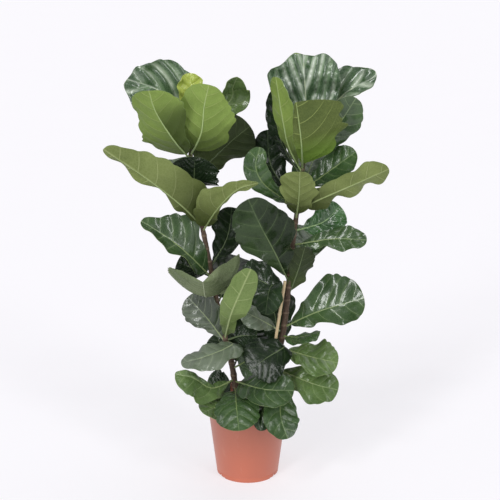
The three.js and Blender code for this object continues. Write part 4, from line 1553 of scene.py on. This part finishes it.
LEAVES = (
    Leaf("crown_back_left", "left", 800, ((-153, 44, 868), (-202, 40, 918), (-271, 34, 944)),
         (0.1, -0.93, 0.35), width=140, cup=0.3, wave=8,
         waves=2.6, phase=0.4, widest=0.45, fold=7.5, humps=4, tone=Tone.FOLDED,
         left=(0.8, 0.85, 0.95, 1.12, 1.2), right=(0.6, 0.95, 1.12, 1.14, 0.9)),
    Leaf("crown_front_left", "left", 766, ((-164, -46, 821), (-199, -68, 885), (-212, -84, 933)),
         (0.38, 0.84, 0.36), width=138, cup=0.35, wave=5,
         waves=1.6, phase=1.1, fold=2.6, tone=Tone.HALF_SHADED,
         left=(0.8, 0.75, 0.85, 1, 1.15), right=(2.5, 1.95, 1.3, 0.98, 0.95)),
    Leaf("crown_front", "left", 776, ((-102, -48, 835), (-94, -60, 897), (-83, -60, 943)),
         (-0.06, 0.97, 0.22), width=120, cup=0.3, wave=5, waves=1.7, phase=2.6, fold=2.6, tone=Tone.CROWN,
         left=(2.2, 1.75, 1.3, 1.05, 0.9), right=(1.9, 1.2, 0.98, 0.86, 0.95)),
    Leaf("crown_new_leaf", "left", 835, ((-126, 2, 883), (-127, 8, 960)), (0.05, -0.95, 0.3),
         width=66, cup=0.8, wave=3, waves=3.2, phase=0.3, fold=3.2, tone=Tone.NEW),
    Leaf("crown_right_curl", "left", 812, ((-42, 64, 888), (-33, 56, 923), (-23, 40, 948)),
         (0.62, -0.62, 0.48), width=80, cup=0.75, wave=7, waves=2.2, phase=0.9, fold=3.2, tone=Tone.FRESH),
    Leaf("crown_right_dark", "left", 728, ((-88, 20, 756), (-40, 20, 802), (6, 30, 838)), (-0.26, 0.93, 0.28),
         width=162, cup=0.2, wave=4, waves=1.8, phase=0.2, widest=0.5, tone=Tone.DARK,
         left=(0.5, 0.5, 0.66, 0.85, 1)),
    Leaf("collar_left", "left", 612, ((-146, -54, 671), (-214, -84, 735), (-313, -96, 808)),
         (0.22, 0.9, 0.36), width=130, cup=0.35, wave=8,
         waves=2.6, phase=0.6, widest=0.4, fold=2.6, tone=Tone.OLIVE,
         left=(1.2, 1.35, 1.2, 0.95, 0.85), right=(0.3, 0.24, 0.24, 0.3, 0.4)),
    Leaf("collar_right", "left", 600, ((-67, -70, 668), (-23, -90, 716), (24, -96, 733)), (-0.3, 0.85, 0.44),
         width=72, cup=0.25, wave=4, waves=1.6, phase=0.3, widest=0.36, fold=2.6, tone=Tone.OLIVE,
         left=(0.6, 0.3, 0.28, 0.35, 0.5), right=(1, 1.5, 1.9, 1, 0.6)),
    Leaf("cup_leaf", "left", 690, ((-120, -18, 728), (-117, -22, 777)), (0, -0.95, 0.3),
         width=118, cup=0.45, wave=3, waves=1.4, phase=0.5, widest=0.5, tone=Tone.DARK,
         left=(1.5, 1.2, 1, 1, 1), right=(1.5, 1.2, 1, 1, 1)),
    Leaf("shoulder_left", "left", 486, ((-136, -28, 552), (-180, -38, 593), (-240, -42, 634)),
         (-0.3, -0.7, 0.66), width=116, cup=1, wave=4, waves=2.2, phase=1, widest=0.52, tone=Tone.GLOSSY,
         right_cup=0.15, left=(0.6, 0.5, 0.5, 0.5, 0.5), right=(0.8, 0.96, 1.38, 1.05, 0.6)),
    Leaf("boat_left", "left", 470, ((-95, -38, 453), (-99, -112, 511)), (0.05, -0.15, 0.98),
         width=206, cup=1.9, wave=4, waves=1.8, phase=0.2, widest=0.5, tone=Tone.GREY,
         right_cup=0.9, left=(1, 1.3, 1.42, 1.35, 1.15), right=(0.9, 1, 1.05, 1.05, 0.95)),
    Leaf("back_left", "left", 488, ((-130, 30, 502), (-166, 40, 512)), (-0.2, -0.75, 0.63),
         width=74, cup=0.2, wave=3, waves=1.8, phase=0.4, tone=Tone.DARK),
    Leaf("bottom_back_left", "left", 240, ((-56, 18, 210), (-98, 31, 210)), (-0.1, -0.8, 0.6),
         width=80, cup=0.2, wave=4, waves=1.8, phase=0.4, tone=Tone.DEEP,
         left=(1.7, 1.3, 1, 1, 1), right=(1.8, 1.4, 1, 1, 1)),
    Leaf("dark_right", "left", 512, ((-48, 34, 574), (-36, 42, 646)), (0.25, -0.86, 0.44),
         width=86, cup=0.25, wave=5, waves=2, phase=0.1, tone=Tone.DARK),
    Leaf("hanging_left", "left", 326, ((-94, -14, 393), (-139, 2, 440)), (-0.45, -0.8, 0.4),
         width=88, cup=0.25, wave=4, waves=2, phase=0.9, widest=0.55, tone=Tone.TWO_TONE,
         left=(0.5, 0.65, 0.85, 1, 1.05), right=(0.8, 1, 1.15, 1.1, 1.1)),
    Leaf("light_centre", "left", 340, ((-36, -124, 440), (-12, -138, 503), (8, -142, 550)), (0.1, 0.93, 0.35),
         width=70, cup=0.3, wave=5, waves=2.2, phase=0.5, widest=0.5, tone=Tone.LIGHT,
         left=(0.55, 0.68, 0.88, 1.05, 1.35), right=(0.6, 0.72, 0.85, 0.98, 1.1)),
    Leaf("lower_left_silver", "left", 330, ((-36, -50, 340), (-86, -80, 326), (-152, -86, 307)),
         (-0.1, -0.42, 0.9), width=74, cup=-0.2, wave=4, waves=2.2, phase=0.3, widest=0.5, tone=Tone.SHEEN,
         left=(1, 1.3, 1.3, 1.1, 1)),
    Leaf("lower_left_green", "left", 236, ((-83, -58, 236), (-125, -84, 271), (-166, -96, 286)),
         (-0.15, -0.62, 0.77), width=92, cup=0.2, wave=5, waves=2.4, phase=1.2, tone=Tone.FRESH,
         left=(0.8, 1.05, 1.15, 1.1, 1), right=(0.6, 0.3, 0.25, 0.3, 0.35)),
    Leaf("small_left_back", "left", 318, ((-51, 20, 299), (-78, 34, 337)), (-0.1, -0.85, 0.5),
         width=66, cup=0.2, wave=4, waves=1.6, phase=0.4, fold=1.3, tone=Tone.DEEP),
    Leaf("bottom_centre", "left", 216, ((-26, -92, 210), (-19, -146, 167)), (0.05, -0.7, 0.71),
         width=104, cup=0.15, wave=4, waves=1.8, phase=0.6),
    Leaf("bottom_left_wing", "left", 203, ((-62, -70, 201), (-103, -100, 191)), (-0.25, -0.6, 0.76),
         width=92, cup=0.2, wave=4, waves=1.8, phase=0.2, tone=Tone.FRESH),
    Leaf("lower_centre", "left", 232, ((36, -92, 247), (107, -100, 246)), (0.1, -0.66, 0.74),
         width=100, cup=0.25, wave=5, waves=2, phase=1.4, tone=Tone.GLOSSY,
         left=(2.2, 1.45, 1.05, 1, 1), right=(1.3, 1.1, 1, 1, 1)),
    Leaf("centre_round", "left", 334, ((-15, -8, 347), (22, -14, 349)), (0.2, -0.75, 0.63),
         width=78, cup=0.2, wave=4, waves=1.8, phase=0.6, fold=1.3, tone=Tone.DEEP),
    Leaf("centre_right", "left", 264, ((-10, -22, 285), (20, -28, 309)), (0.2, -0.7, 0.68),
         width=88, cup=0.2, wave=4, waves=2, phase=0.8, fold=1.3,
         left=(1.2, 1, 1, 1, 1), right=(1.9, 1.4, 1, 1, 1)),
    Leaf("under_bottom_centre", "right", 200, ((30, -14, 204), (34, -92, 197), (31, -126, 158)),
         (0.1, -0.7, 0.7), width=48, cup=0.1, wave=3, waves=1.6, phase=0.2, tone=Tone.DEEP),
    Leaf("right_crown_back", "right", 800, ((133, 42, 877), (130, 42, 932), (125, 38, 999)),
         (0.05, -0.95, 0.3), width=176, cup=0.3, wave=10,
         waves=3.1, phase=0.4, widest=0.62, fold=9.5, humps=6, tone=Tone.STREAKED,
         left=(1.2, 1.15, 1.05, 0.97, 1.1), right=(1, 1, 0.95, 0.93, 1.1)),
    Leaf("right_crown_back_right", "right", 776, ((208, 68, 892), (293, 50, 949)), (-0.22, -0.72, 0.66),
         width=128, cup=0.4, wave=8, waves=2.8, phase=1.3, fold=7.5, humps=3.5, tone=Tone.FOLDED,
         left=(1, 1, 1, 0.9, 0.75), right=(1, 1, 0.8, 0.55, 0.5)),
    Leaf("right_crown_side", "right", 752, ((199, 0, 838), (242, -6, 907)), (0.42, -0.84, 0.34),
         width=84, cup=0.3, wave=3, waves=1.8, phase=0.9, tone=Tone.GLOSSY),
    Leaf("right_front_strip", "right", 735, ((94, -22, 798), (80, -38, 857), (62, -50, 959)),
         (0.8, 0.56, 0.24), width=80, cup=0.15, wave=3, waves=1.6, phase=0.5, tone=Tone.CROWN),
    Leaf("right_dark_strip", "right", 726, ((82, 22, 794), (66, 13, 850), (60, 4, 922)), (-0.8, -0.56, 0.2),
         width=58, cup=0.7, wave=4, waves=1.8, phase=0.4, tone=Tone.DARK),
    Leaf("right_front", "right", 744, ((118, -66, 823), (106, -80, 908)), (-0.1, 0.96, 0.27),
         width=196, cup=0.2, wave=4, waves=1.6, phase=0.9, fold=2.6, tone=Tone.BROWNED,
         left=(1.5, 1.3, 1.14, 0.96, 1.25), right=(0.2, 0.22, 0.2, 0.14, 0.12)),
    Leaf("right_front_side", "right", 690, ((189, -16, 746), (243, -26, 789)), (-0.35, -0.75, 0.56),
         width=78, cup=0.35, wave=4, waves=2, phase=0.3),
    Leaf("right_collar", "right", 650, ((159, -40, 682), (223, -66, 717), (313, -66, 758)), (-0.2, 0.85, 0.5),
         width=120, cup=0.4, wave=8, waves=2.6, phase=0.2, widest=0.36, tone=Tone.OLIVE,
         left=(0.7, 0.6, 0.6, 0.75, 1.05), right=(0.9, 0.65, 0.55, 0.75, 1)),
    Leaf("glossy_left", "right", 655, ((42, -40, 714), (19, -52, 760), (28, -44, 803)), (-0.35, -0.88, 0.3),
         width=58, cup=0.35, wave=3, waves=1.6, phase=0.4),
    Leaf("between_crowns", "right", 668, ((57, 56, 736), (45, 62, 824)), (0.05, -0.95, 0.3),
         width=78, cup=0.2, wave=4, waves=1.8, phase=0.6, tone=Tone.DARK),
    Leaf("big_left", "right", 476, ((63, -34, 557), (29, -52, 627), (2, -50, 686)), (-0.3, -0.9, 0.3),
         width=130, cup=0.4, wave=8, waves=2.4, phase=0.7, tone=Tone.DAPPLED,
         left=(0.6, 0.8, 1, 1, 1), right=(0.6, 1, 1.2, 1.1, 1)),
    Leaf("vivid_right", "right", 600, ((174, 10, 618), (213, 16, 655)), (0.35, -0.8, 0.48),
         width=82, cup=0.3, wave=7, waves=3.2, phase=0.5, fold=3.2, tone=Tone.VIVID),
    Leaf("small_right", "right", 566, ((197, -28, 588), (271, -42, 589)), (0.1, -0.78, 0.62),
         width=60, cup=0.2, wave=5, waves=2.6, phase=0.7, tone=Tone.GLOSSY),
    Leaf("right_collar_lobe", "right", 628, ((115, -60, 693), (115, -98, 758)), (0.05, 0.9, 0.42),
         width=96, cup=0.2, wave=5, waves=1.8, phase=0.5, tone=Tone.OLIVE,
         left=(1.2, 1.05, 0.95, 0.75, 0.7), right=(1.2, 1, 0.9, 0.9, 1.1)),
    Leaf("dark_under", "right", 436, ((117, -8, 508), (132, -14, 565)), (-0.3, 0.85, 0.44),
         width=86, cup=0.2, wave=5, waves=1.8, phase=0.2, fold=1.3, tone=Tone.DARK,
         left=(0.8, 1, 1, 0.85, 0.8), right=(0.7, 0.6, 0.7, 0.9, 0.9)),
    Leaf("big_right", "right", 366, ((163, -42, 418), (267, -54, 455)), (0.1, -0.78, 0.62),
         width=112, cup=0.3, wave=8, waves=2.6, phase=0.2, tone=Tone.GLOSSY,
         left=(0.9, 1.1, 1.3, 1.35, 1.3), right=(0.8, 0.75, 0.75, 0.85, 1.1)),
    Leaf("sheen_left", "right", 352, ((56, -2, 370), (20, -24, 398), (-18, -30, 420)), (-0.2, -0.6, 0.77),
         width=64, cup=-0.35, wave=4, waves=2, phase=0.4, fold=1.3, tone=Tone.SHEEN),
    Leaf("edge_on_right", "right", 344, ((119, -56, 361), (167, -66, 377)), (0.05, -0.2, 0.97),
         width=66, cup=-0.5, wave=4, waves=1.8, phase=0.3),
    Leaf("lower_right_upper", "right", 314, ((149, -36, 305), (211, -46, 294)), (0.15, -0.6, 0.78),
         width=100, cup=0.15, wave=6, waves=2.6, phase=0.8, tone=Tone.FRESH),
    Leaf("lower_right_lower", "right", 262, ((155, -56, 245), (211, -68, 235)), (0.2, -0.72, 0.66),
         width=102, cup=0.2, wave=6, waves=2.6, phase=0.1, tone=Tone.FRESH),
    Leaf("bottom_right", "right", 232, ((74, -60, 220), (77, -112, 184), (92, -134, 142)), (0.3, -0.68, 0.67),
         width=86, cup=0.15, wave=5, waves=2.2, phase=0.6),
    Leaf("dark_lower_left", "right", 322, ((84, -40, 330), (42, -66, 312), (6, -72, 284)),
         (-0.15, -0.85, 0.5), width=112, cup=0.15, wave=5, waves=1.8, phase=0.4, fold=0.5, tone=Tone.DARK),
    Leaf("scalloped", "right", 434, ((34, 30, 470), (-18, 40, 475)), (-0.2, -0.82, 0.54),
         width=94, cup=0.2, wave=5, waves=3, phase=0.4, fold=1.3, tone=Tone.DEEP),
    Leaf("grey_sheen", "right", 448, ((64, 4, 468), (50, -46, 470), (42, -66, 420)), (-0.4, -0.82, 0.4),
         width=76, cup=0.2, wave=4, waves=1.8, phase=0.7, fold=1.3, tone=Tone.DEEP),
    Leaf("rear_left_upper", "left", 655, ((-150, 80, 705), (-178, 150, 738)), (0.15, -0.55, 0.82),
         width=124, cup=0.3, wave=6, waves=2.2, phase=0.4),
    Leaf("rear_left_middle", "left", 420, ((-44, 60, 470), (-10, 126, 498)), (0, -0.62, 0.78),
         width=124, cup=0.25, wave=6, waves=2.2, phase=1, tone=Tone.DARK),
    Leaf("rear_left_low", "left", 262, ((-4, 52, 318), (30, 112, 350)), (0, -0.6, 0.8),
         width=124, cup=0.2, wave=5, waves=2.4, phase=0.2, tone=Tone.DEEP),
    Leaf("rear_right_upper", "right", 690, ((150, 78, 740), (176, 150, 782)), (-0.1, -0.6, 0.79),
         width=128, cup=0.3, wave=6, waves=2.2, phase=0.9),
    Leaf("rear_right_middle", "right", 505, ((140, 76, 545), (176, 146, 566)), (-0.1, -0.5, 0.86),
         width=118, cup=0.25, wave=6, waves=2.2, phase=0.3),
    Leaf("rear_right_low", "right", 300, ((66, 66, 372), (40, 124, 424)), (0, -0.65, 0.76),
         width=116, cup=0.2, wave=6, waves=2.4, phase=0.7, tone=Tone.DEEP),
)


@dataclass
class Cane:
    """The thin support cane. Sizes are in millimetres."""

    route: Sequence[Triple] = ((30, -22, 84), (46, -20, 200), (68, -18, 355), (87, -16, 484))
    radius: float = 3.7
    joint_spacing: float = 88.0
    joint_swell: float = 0.8
    joint_reach: float = 3.0
    sections: int = 200
    quarter: int = 5
    smooth_angle: float = 50

    def build(self) -> bpy.types.Object:
        """Models the cane, thicker at its joints.

        Returns:
            The piece, settled.
        """
        line = Route(self.route)
        low, high = self.route[0][2], self.route[-1][2]
        count = round((high - low) / self.joint_spacing)
        spacing = (high - low) / count
        heights = [low + (high - low) * i / self.sections for i in range(self.sections + 1)]
        radii = []
        for height in heights:
            gap = abs((height - low + spacing / 2) % spacing - spacing / 2)
            inner = 0 < round((height - low) / spacing) < count
            radii.append(self.radius + inner * self.joint_swell * math.exp(-(gap / self.joint_reach) ** 2))
        points = [line.at_height(h * MM) for h in heights]
        piece = tube("fig_cane", points, [r * MM for r in radii], self.quarter)
        dress(piece, CaneFinish().material("cane_skin"))
        smooth(piece, self.smooth_angle)
        return settle(piece, "cane", "cane")


@dataclass
class Pot:
    """The tapered nursery pot: rim band, foot arches and drain notches. Sizes are in millimetres."""

    height: float = 190.0
    base_radius: float = 74.0
    rim_radius: float = 104.5
    wall: float = 2.4
    band: float = 22.0
    overhang: float = 8.0
    sides: int = 112
    floor: float = 3.0
    chamfer: float = 2.0
    arch_angles: Sequence[float] = (30.0, 150.0, 210.0, 330.0)
    arch: Triple = (34.0, 2.4, 14.0)
    notch: Triple = (7.0, 7.0, 9.0)
    cut_bevel: float = 0.3
    cut_bevel_height: float = 4.0
    edge_bevel: float = 0.3
    bevel_angle: float = 35
    smooth_angle: float = 38

    # The wall's small steps, each point as (outwards, upwards). The ridge starts from the body's slope and
    # the ground, the band's foot from the rim's radius and the foot of the band, the rim from its own top
    FOOT = ((-0.6, 0.5), (0.0, 2.0))
    RIDGE = ((0.0, 10.0), (-0.35, 10.6), (-0.35, 12.2), (0.0, 12.8))
    BAND_FOOT = ((-2.6, 0.4), (-2.0, 1.2))
    RIM = ((-0.9, -3.2), (-0.1, -2.0), (0.0, -1.0), (-0.8, 0.0))
    LIP = ((0.5, 0.0), (0.0, -0.8))
    # The foot's disc starts this far inside the wall, and the band's inner step is this high
    START_INSET = 2.2
    INNER_STEP = 1.0

    def profile(self) -> list[tuple[float, float]]:
        """The wall's (radius, height) points after the foot, up the outside and down the inside.

        Returns:
            The points, in order.
        """
        band_foot = self.height - self.band
        body_top = self.rim_radius - self.overhang - self.chamfer
        slope = (body_top - self.base_radius) / (band_foot - self.chamfer)
        inner = self.rim_radius - self.wall
        return [
            *[(self.base_radius + out, up) for out, up in self.FOOT],
            *[(self.base_radius + slope * (up - self.chamfer) + out, up) for out, up in self.RIDGE],
            (body_top, band_foot),
            *[(self.rim_radius + out, band_foot + up) for out, up in self.BAND_FOOT],
            *[(self.rim_radius + out, self.height + up) for out, up in self.RIM],
            *[(inner + out, self.height + up) for out, up in self.LIP],
            (inner - self.chamfer, band_foot + self.INNER_STEP + self.wall),
            (body_top - self.wall, band_foot + self.wall),
            (self.base_radius - self.wall, self.floor),
        ]

    def _turned(self) -> bpy.types.Object:
        """The wall, raised ring by ring from a disc.

        Returns:
            The wall and the floor, as one closed mesh.
        """
        deselect_all()
        radius, height = self.base_radius - self.START_INSET, 0.0
        bpy.ops.mesh.primitive_circle_add(vertices=self.sides, radius=radius * MM, fill_type="NGON")
        piece = named("fig_pot")
        bpy.ops.object.mode_set(mode="EDIT")
        bpy.ops.mesh.select_all(action="SELECT")
        for next_radius, next_height in self.profile():
            rise = (0.0, 0.0, (next_height - height) * MM)
            bpy.ops.mesh.extrude_region_move(TRANSFORM_OT_translate={"value": rise})
            share = next_radius / radius
            bpy.ops.transform.resize(value=(share, share, 1.0))
            radius, height = next_radius, next_height
        bpy.ops.object.mode_set(mode="OBJECT")
        face_outwards(piece)
        return piece

    def _cut(self, piece: bpy.types.Object, degrees: float, size: Triple) -> None:
        """Cuts a block out of the pot's foot.

        Args:
            piece: the pot.
            degrees: where round the foot, from +X.
            size: the cut's width, its height above the ground and its depth along the radius.
        """
        width, height, depth = size
        turn = math.radians(degrees)
        place = Vector((math.cos(turn), math.sin(turn), 0.0)) * self.base_radius * MM
        deselect_all()
        bpy.ops.mesh.primitive_cube_add(size=1.0, location=place, rotation=(0.0, 0.0, turn))
        block = named("foot_cut")
        block.scale = (depth * MM, width * MM, 2 * height * MM)
        bpy.ops.object.transform_apply(location=True, rotation=True, scale=True)
        bevel = min(height, self.cut_bevel_height) * self.cut_bevel
        add_modifier(block, "BEVEL", width=bevel * MM, segments=3)
        add_modifier(piece, "BOOLEAN", operation="DIFFERENCE", solver="EXACT", object=block)
        bpy.data.objects.remove(block)

    def build(self) -> bpy.types.Object:
        """Models the pot.

        Returns:
            The piece, settled.
        """
        piece = self._turned()
        for degrees in self.arch_angles:
            self._cut(piece, degrees, self.arch)
            self._cut(piece, degrees, self.notch)
        face_outwards(piece)
        limit = math.radians(self.bevel_angle)
        add_modifier(piece, "BEVEL", width=self.edge_bevel * MM, segments=2, angle_limit=limit)
        smooth(piece, self.smooth_angle)
        dress(piece, PotFinish().material("pot_plastic_satin"))
        return settle(piece, "pot_plastic", "pot")


@dataclass(frozen=True)
class Crumb:
    """One kind of crumb in the soil: its size in millimetres, its finish and how often it comes up."""

    name: str
    size: float
    finish: SoilFinish
    weight: int

    # How rough a crumb's skin is
    LEAST = 0.8
    SWING = 0.5
    SCALE = 900

    def build(self) -> bpy.types.Object:
        """Models one crumb.

        Returns:
            The crumb, in the middle of the scene.
        """
        deselect_all()
        bpy.ops.mesh.primitive_ico_sphere_add(subdivisions=1, radius=self.size * MM)
        crumb = named(f"crumb_{self.name}")
        for vertex in crumb.data.vertices:
            vertex.co *= self.LEAST + self.SWING * noise.noise(vertex.co * self.SCALE)
        return dress(crumb, self.finish.material(f"{self.name}_crumb"))


@dataclass
class Soil:
    """The potting mix: a crumbly crust with bits of bark and fibre. Sizes are in millimetres."""

    top: float = 166.0
    radius: float = 91.6
    foot_radius: float = 71.2
    foot: float = 3.4
    crown: float = 4.0
    edge_flatness: int = 8
    sides: int = 90
    rings: int = 26
    crumbs: int = 260
    crumb_reach: float = 0.95
    crumb_rise: float = 0.3
    smooth_angle: float = 40
    seed: int = 11
    crust: SoilFinish = SoilFinish((0.030, 0.020, 0.013), (0.075, 0.052, 0.034))

    # The crust's lumps: their length, their layer of the noise and their height
    LUMPS = ((16, 3.0, 2.2), (5, 9.0, 1.1))
    KINDS = (
        Crumb("peat", 2.2, SoilFinish((0.045, 0.028, 0.018), (0.10, 0.066, 0.04)), 6),
        Crumb("bark", 2.8, SoilFinish((0.11, 0.062, 0.035), (0.20, 0.12, 0.07)), 3),
        Crumb("grit", 1.3, SoilFinish((0.42, 0.39, 0.34), (0.62, 0.6, 0.55)), 1),
    )
    # The least and most that a crumb is stretched along X, Y and Z
    STRETCHES = ((0.6, 1.5), (0.5, 1.1), (0.35, 0.8))
    # A face whose normal rises more than this is part of the crust
    FACING_UP = 0.9

    def surface(self, x: float, y: float) -> float:
        """The crust's height at a place, all in millimetres.

        Args:
            x: the place along X.
            y: the place along Y.

        Returns:
            The height.
        """
        out = min(1.0, math.hypot(x, y) / self.radius)
        lumps = sum(
            noise.noise(Vector((x / length, y / length, layer))) * height
            for length, layer, height in self.LUMPS
        )
        return self.top + self.crown * (1 - out ** 2) + lumps * (1 - out ** self.edge_flatness)

    def _body(self) -> bpy.types.Object:
        """The filling, with its crust raised in rings.

        Returns:
            The filling.
        """
        deselect_all()
        centre = (0.0, 0.0, (self.top + self.foot) / 2 * MM)
        bpy.ops.mesh.primitive_cylinder_add(
            vertices=self.sides, radius=self.radius * MM, depth=(self.top - self.foot) * MM, location=centre,
        )
        piece = named("fig_soil")
        bpy.ops.object.transform_apply(location=True, rotation=True, scale=True)
        for face in piece.data.polygons:
            face.select = face.normal.z > self.FACING_UP
        bpy.ops.object.mode_set(mode="EDIT")
        bpy.ops.mesh.select_mode(type="FACE")
        for _ in range(self.rings):
            bpy.ops.mesh.inset(thickness=self.radius / (self.rings + 1) * MM)
        bpy.ops.mesh.poke()
        bpy.ops.object.mode_set(mode="OBJECT")
        for vertex in piece.data.vertices:
            x, y = vertex.co.x / MM, vertex.co.y / MM
            if vertex.co.z > centre[2]:
                vertex.co.z = self.surface(x, y) * MM
            else:
                vertex.co.x *= self.foot_radius / self.radius
                vertex.co.y *= self.foot_radius / self.radius
        return dress(piece, self.crust.material("soil_crust"))

    def _scatter(self, kinds: Sequence[bpy.types.Object]) -> list[bpy.types.Object]:
        """Copies of the kinds of crumb, each turned, stretched and laid on the crust at random.

        Args:
            kinds: one crumb of each kind.

        Returns:
            The crumbs.
        """
        draw = random.Random(self.seed)
        crumbs = []
        for _ in range(self.crumbs):
            kind = draw.choices(kinds, weights=[crumb.weight for crumb in self.KINDS])[0]
            out = self.radius * self.crumb_reach * math.sqrt(draw.random())
            turn = draw.uniform(0, 2 * math.pi)
            x, y = out * math.cos(turn), out * math.sin(turn)
            crumb = bpy.data.objects.new("crumb", kind.data.copy())
            bpy.context.scene.collection.objects.link(crumb)
            stretch = Matrix.Diagonal((*[draw.uniform(low, high) for low, high in self.STRETCHES], 1.0))
            spin = Matrix.Rotation(draw.uniform(0, 2 * math.pi), 4, "Z")
            place = Vector((x, y, self.surface(x, y) + self.crumb_rise)) * MM
            crumb.data.transform(Matrix.Translation(place) @ spin @ stretch)
            crumbs.append(crumb)
        return crumbs

    def build(self) -> bpy.types.Object:
        """Models the soil and scatters crumbs over it.

        Returns:
            The piece, settled.
        """
        body = self._body()
        kinds = [crumb.build() for crumb in self.KINDS]
        crumbs = self._scatter(kinds)
        for kind in kinds:
            bpy.data.objects.remove(kind)
        soil = join([body, *crumbs], "fig_soil")
        smooth(soil, self.smooth_angle)
        return settle(soil, "soil", "soil")


@dataclass(frozen=True)
class Lamp:
    """A soft lamp, far away.

    Its azimuth is where it stands round the plant, from the front towards the right, and its spread is how
    wide it looks. Angles are in degrees.
    """

    name: str
    azimuth: float
    elevation: float
    strength: float
    spread: float

    def build(self) -> None:
        """Adds the lamp."""
        bpy.ops.object.light_add(type="SUN")
        lamp = bpy.context.view_layer.objects.active
        lamp.name = self.name
        lamp.data.energy = self.strength
        lamp.data.angle = math.radians(self.spread)
        lamp.rotation_euler = (math.radians(90 - self.elevation), 0.0, math.radians(self.azimuth))


@dataclass
class Studio:
    """The plain pale floor, the soft lights and the camera."""

    floor_radius: float = 60.0
    floor_sides: int = 96
    floor_pattern: Mottle = Mottle(2.0, 2.0)
    floor_roughness: float = 0.9
    floor_specular: float = 0.1
    floor_dark: Colour = (0.395, 0.390, 0.408)
    floor_light: Colour = (0.405, 0.400, 0.420)
    floor_glow: Colour = (0.594, 0.586, 0.602)
    air: Colour = (0.90, 0.89, 0.94)
    air_strength: float = 0.32
    camera_place: Triple = (0.006, -2.6, 1.268)
    camera_pitch: float = 15.35
    lens: float = 84.0
    strip_heights: Sequence[float] = (6.0, 18.0, 30.0, 42.0, 54.0)
    strip_spread: float = 10.0
    softbox: Lamp = Lamp("softbox_top", azimuth=150.0, elevation=66.0, strength=0.7, spread=50.0)

    # Each strip's name, its azimuth and the strength of each of its lamps
    STRIPS = (("strip_left", -32.0, 0.36), ("strip_right", 40.0, 0.21))

    def floor(self) -> None:
        """Adds the floor."""
        deselect_all()
        bpy.ops.mesh.primitive_circle_add(
            vertices=self.floor_sides, radius=self.floor_radius, fill_type="NGON",
        )
        plane = named("studio_floor")
        shader = Shader("studio_floor_paint")
        paint = shader.mix(shader.mottle(self.floor_pattern), self.floor_dark, self.floor_light)
        dress(plane, shader.surface({
            "Base Color": paint,
            "Roughness": self.floor_roughness,
            "Specular IOR Level": self.floor_specular,
            "Emission Color": self.floor_glow,
            "Emission Strength": 1.0,
        }))

    def sky(self) -> None:
        """Surrounds the plant with even pale light."""
        world = bpy.data.worlds.new("studio_air")
        bpy.context.scene.world = world
        world.use_nodes = True
        backdrop = world.node_tree.nodes["Background"]
        backdrop.inputs["Color"].default_value = (*self.air, 1.0)
        backdrop.inputs["Strength"].default_value = self.air_strength

    def lights(self) -> None:
        """Adds a tall strip of lamps on each side, and a softbox above."""
        for height in self.strip_heights:
            for name, azimuth, strength in self.STRIPS:
                Lamp(f"{name}_{height:.0f}", azimuth, height, strength, self.strip_spread).build()
        self.softbox.build()

    def camera(self) -> None:
        """Sets the camera where the photograph was taken from."""
        bpy.ops.object.camera_add(
            location=self.camera_place, rotation=(math.radians(90 - self.camera_pitch), 0.0, 0.0),
        )
        camera = bpy.context.view_layer.objects.active
        camera.data.lens = self.lens
        bpy.context.scene.camera = camera

    def build(self) -> None:
        """Adds everything that isn't the plant."""
        bpy.context.scene.view_settings.view_transform = "Standard"
        self.floor()
        self.sky()
        self.lights()
        self.camera()


def main() -> None:
    """Builds the studio and the plant, piece by piece."""
    logging.basicConfig(level=logging.INFO, format="%(name)s %(message)s")
    Studio().build()
    Pot().build()
    Soil().build()
    Cane().build()
    for trunk in TRUNKS.values():
        trunk.build()
    finishes = {tone: tone.value.faces() for tone in Tone}
    for leaf in LEAVES:
        leaf.build(TRUNKS, finishes)


if __name__ == "__main__":
    main()
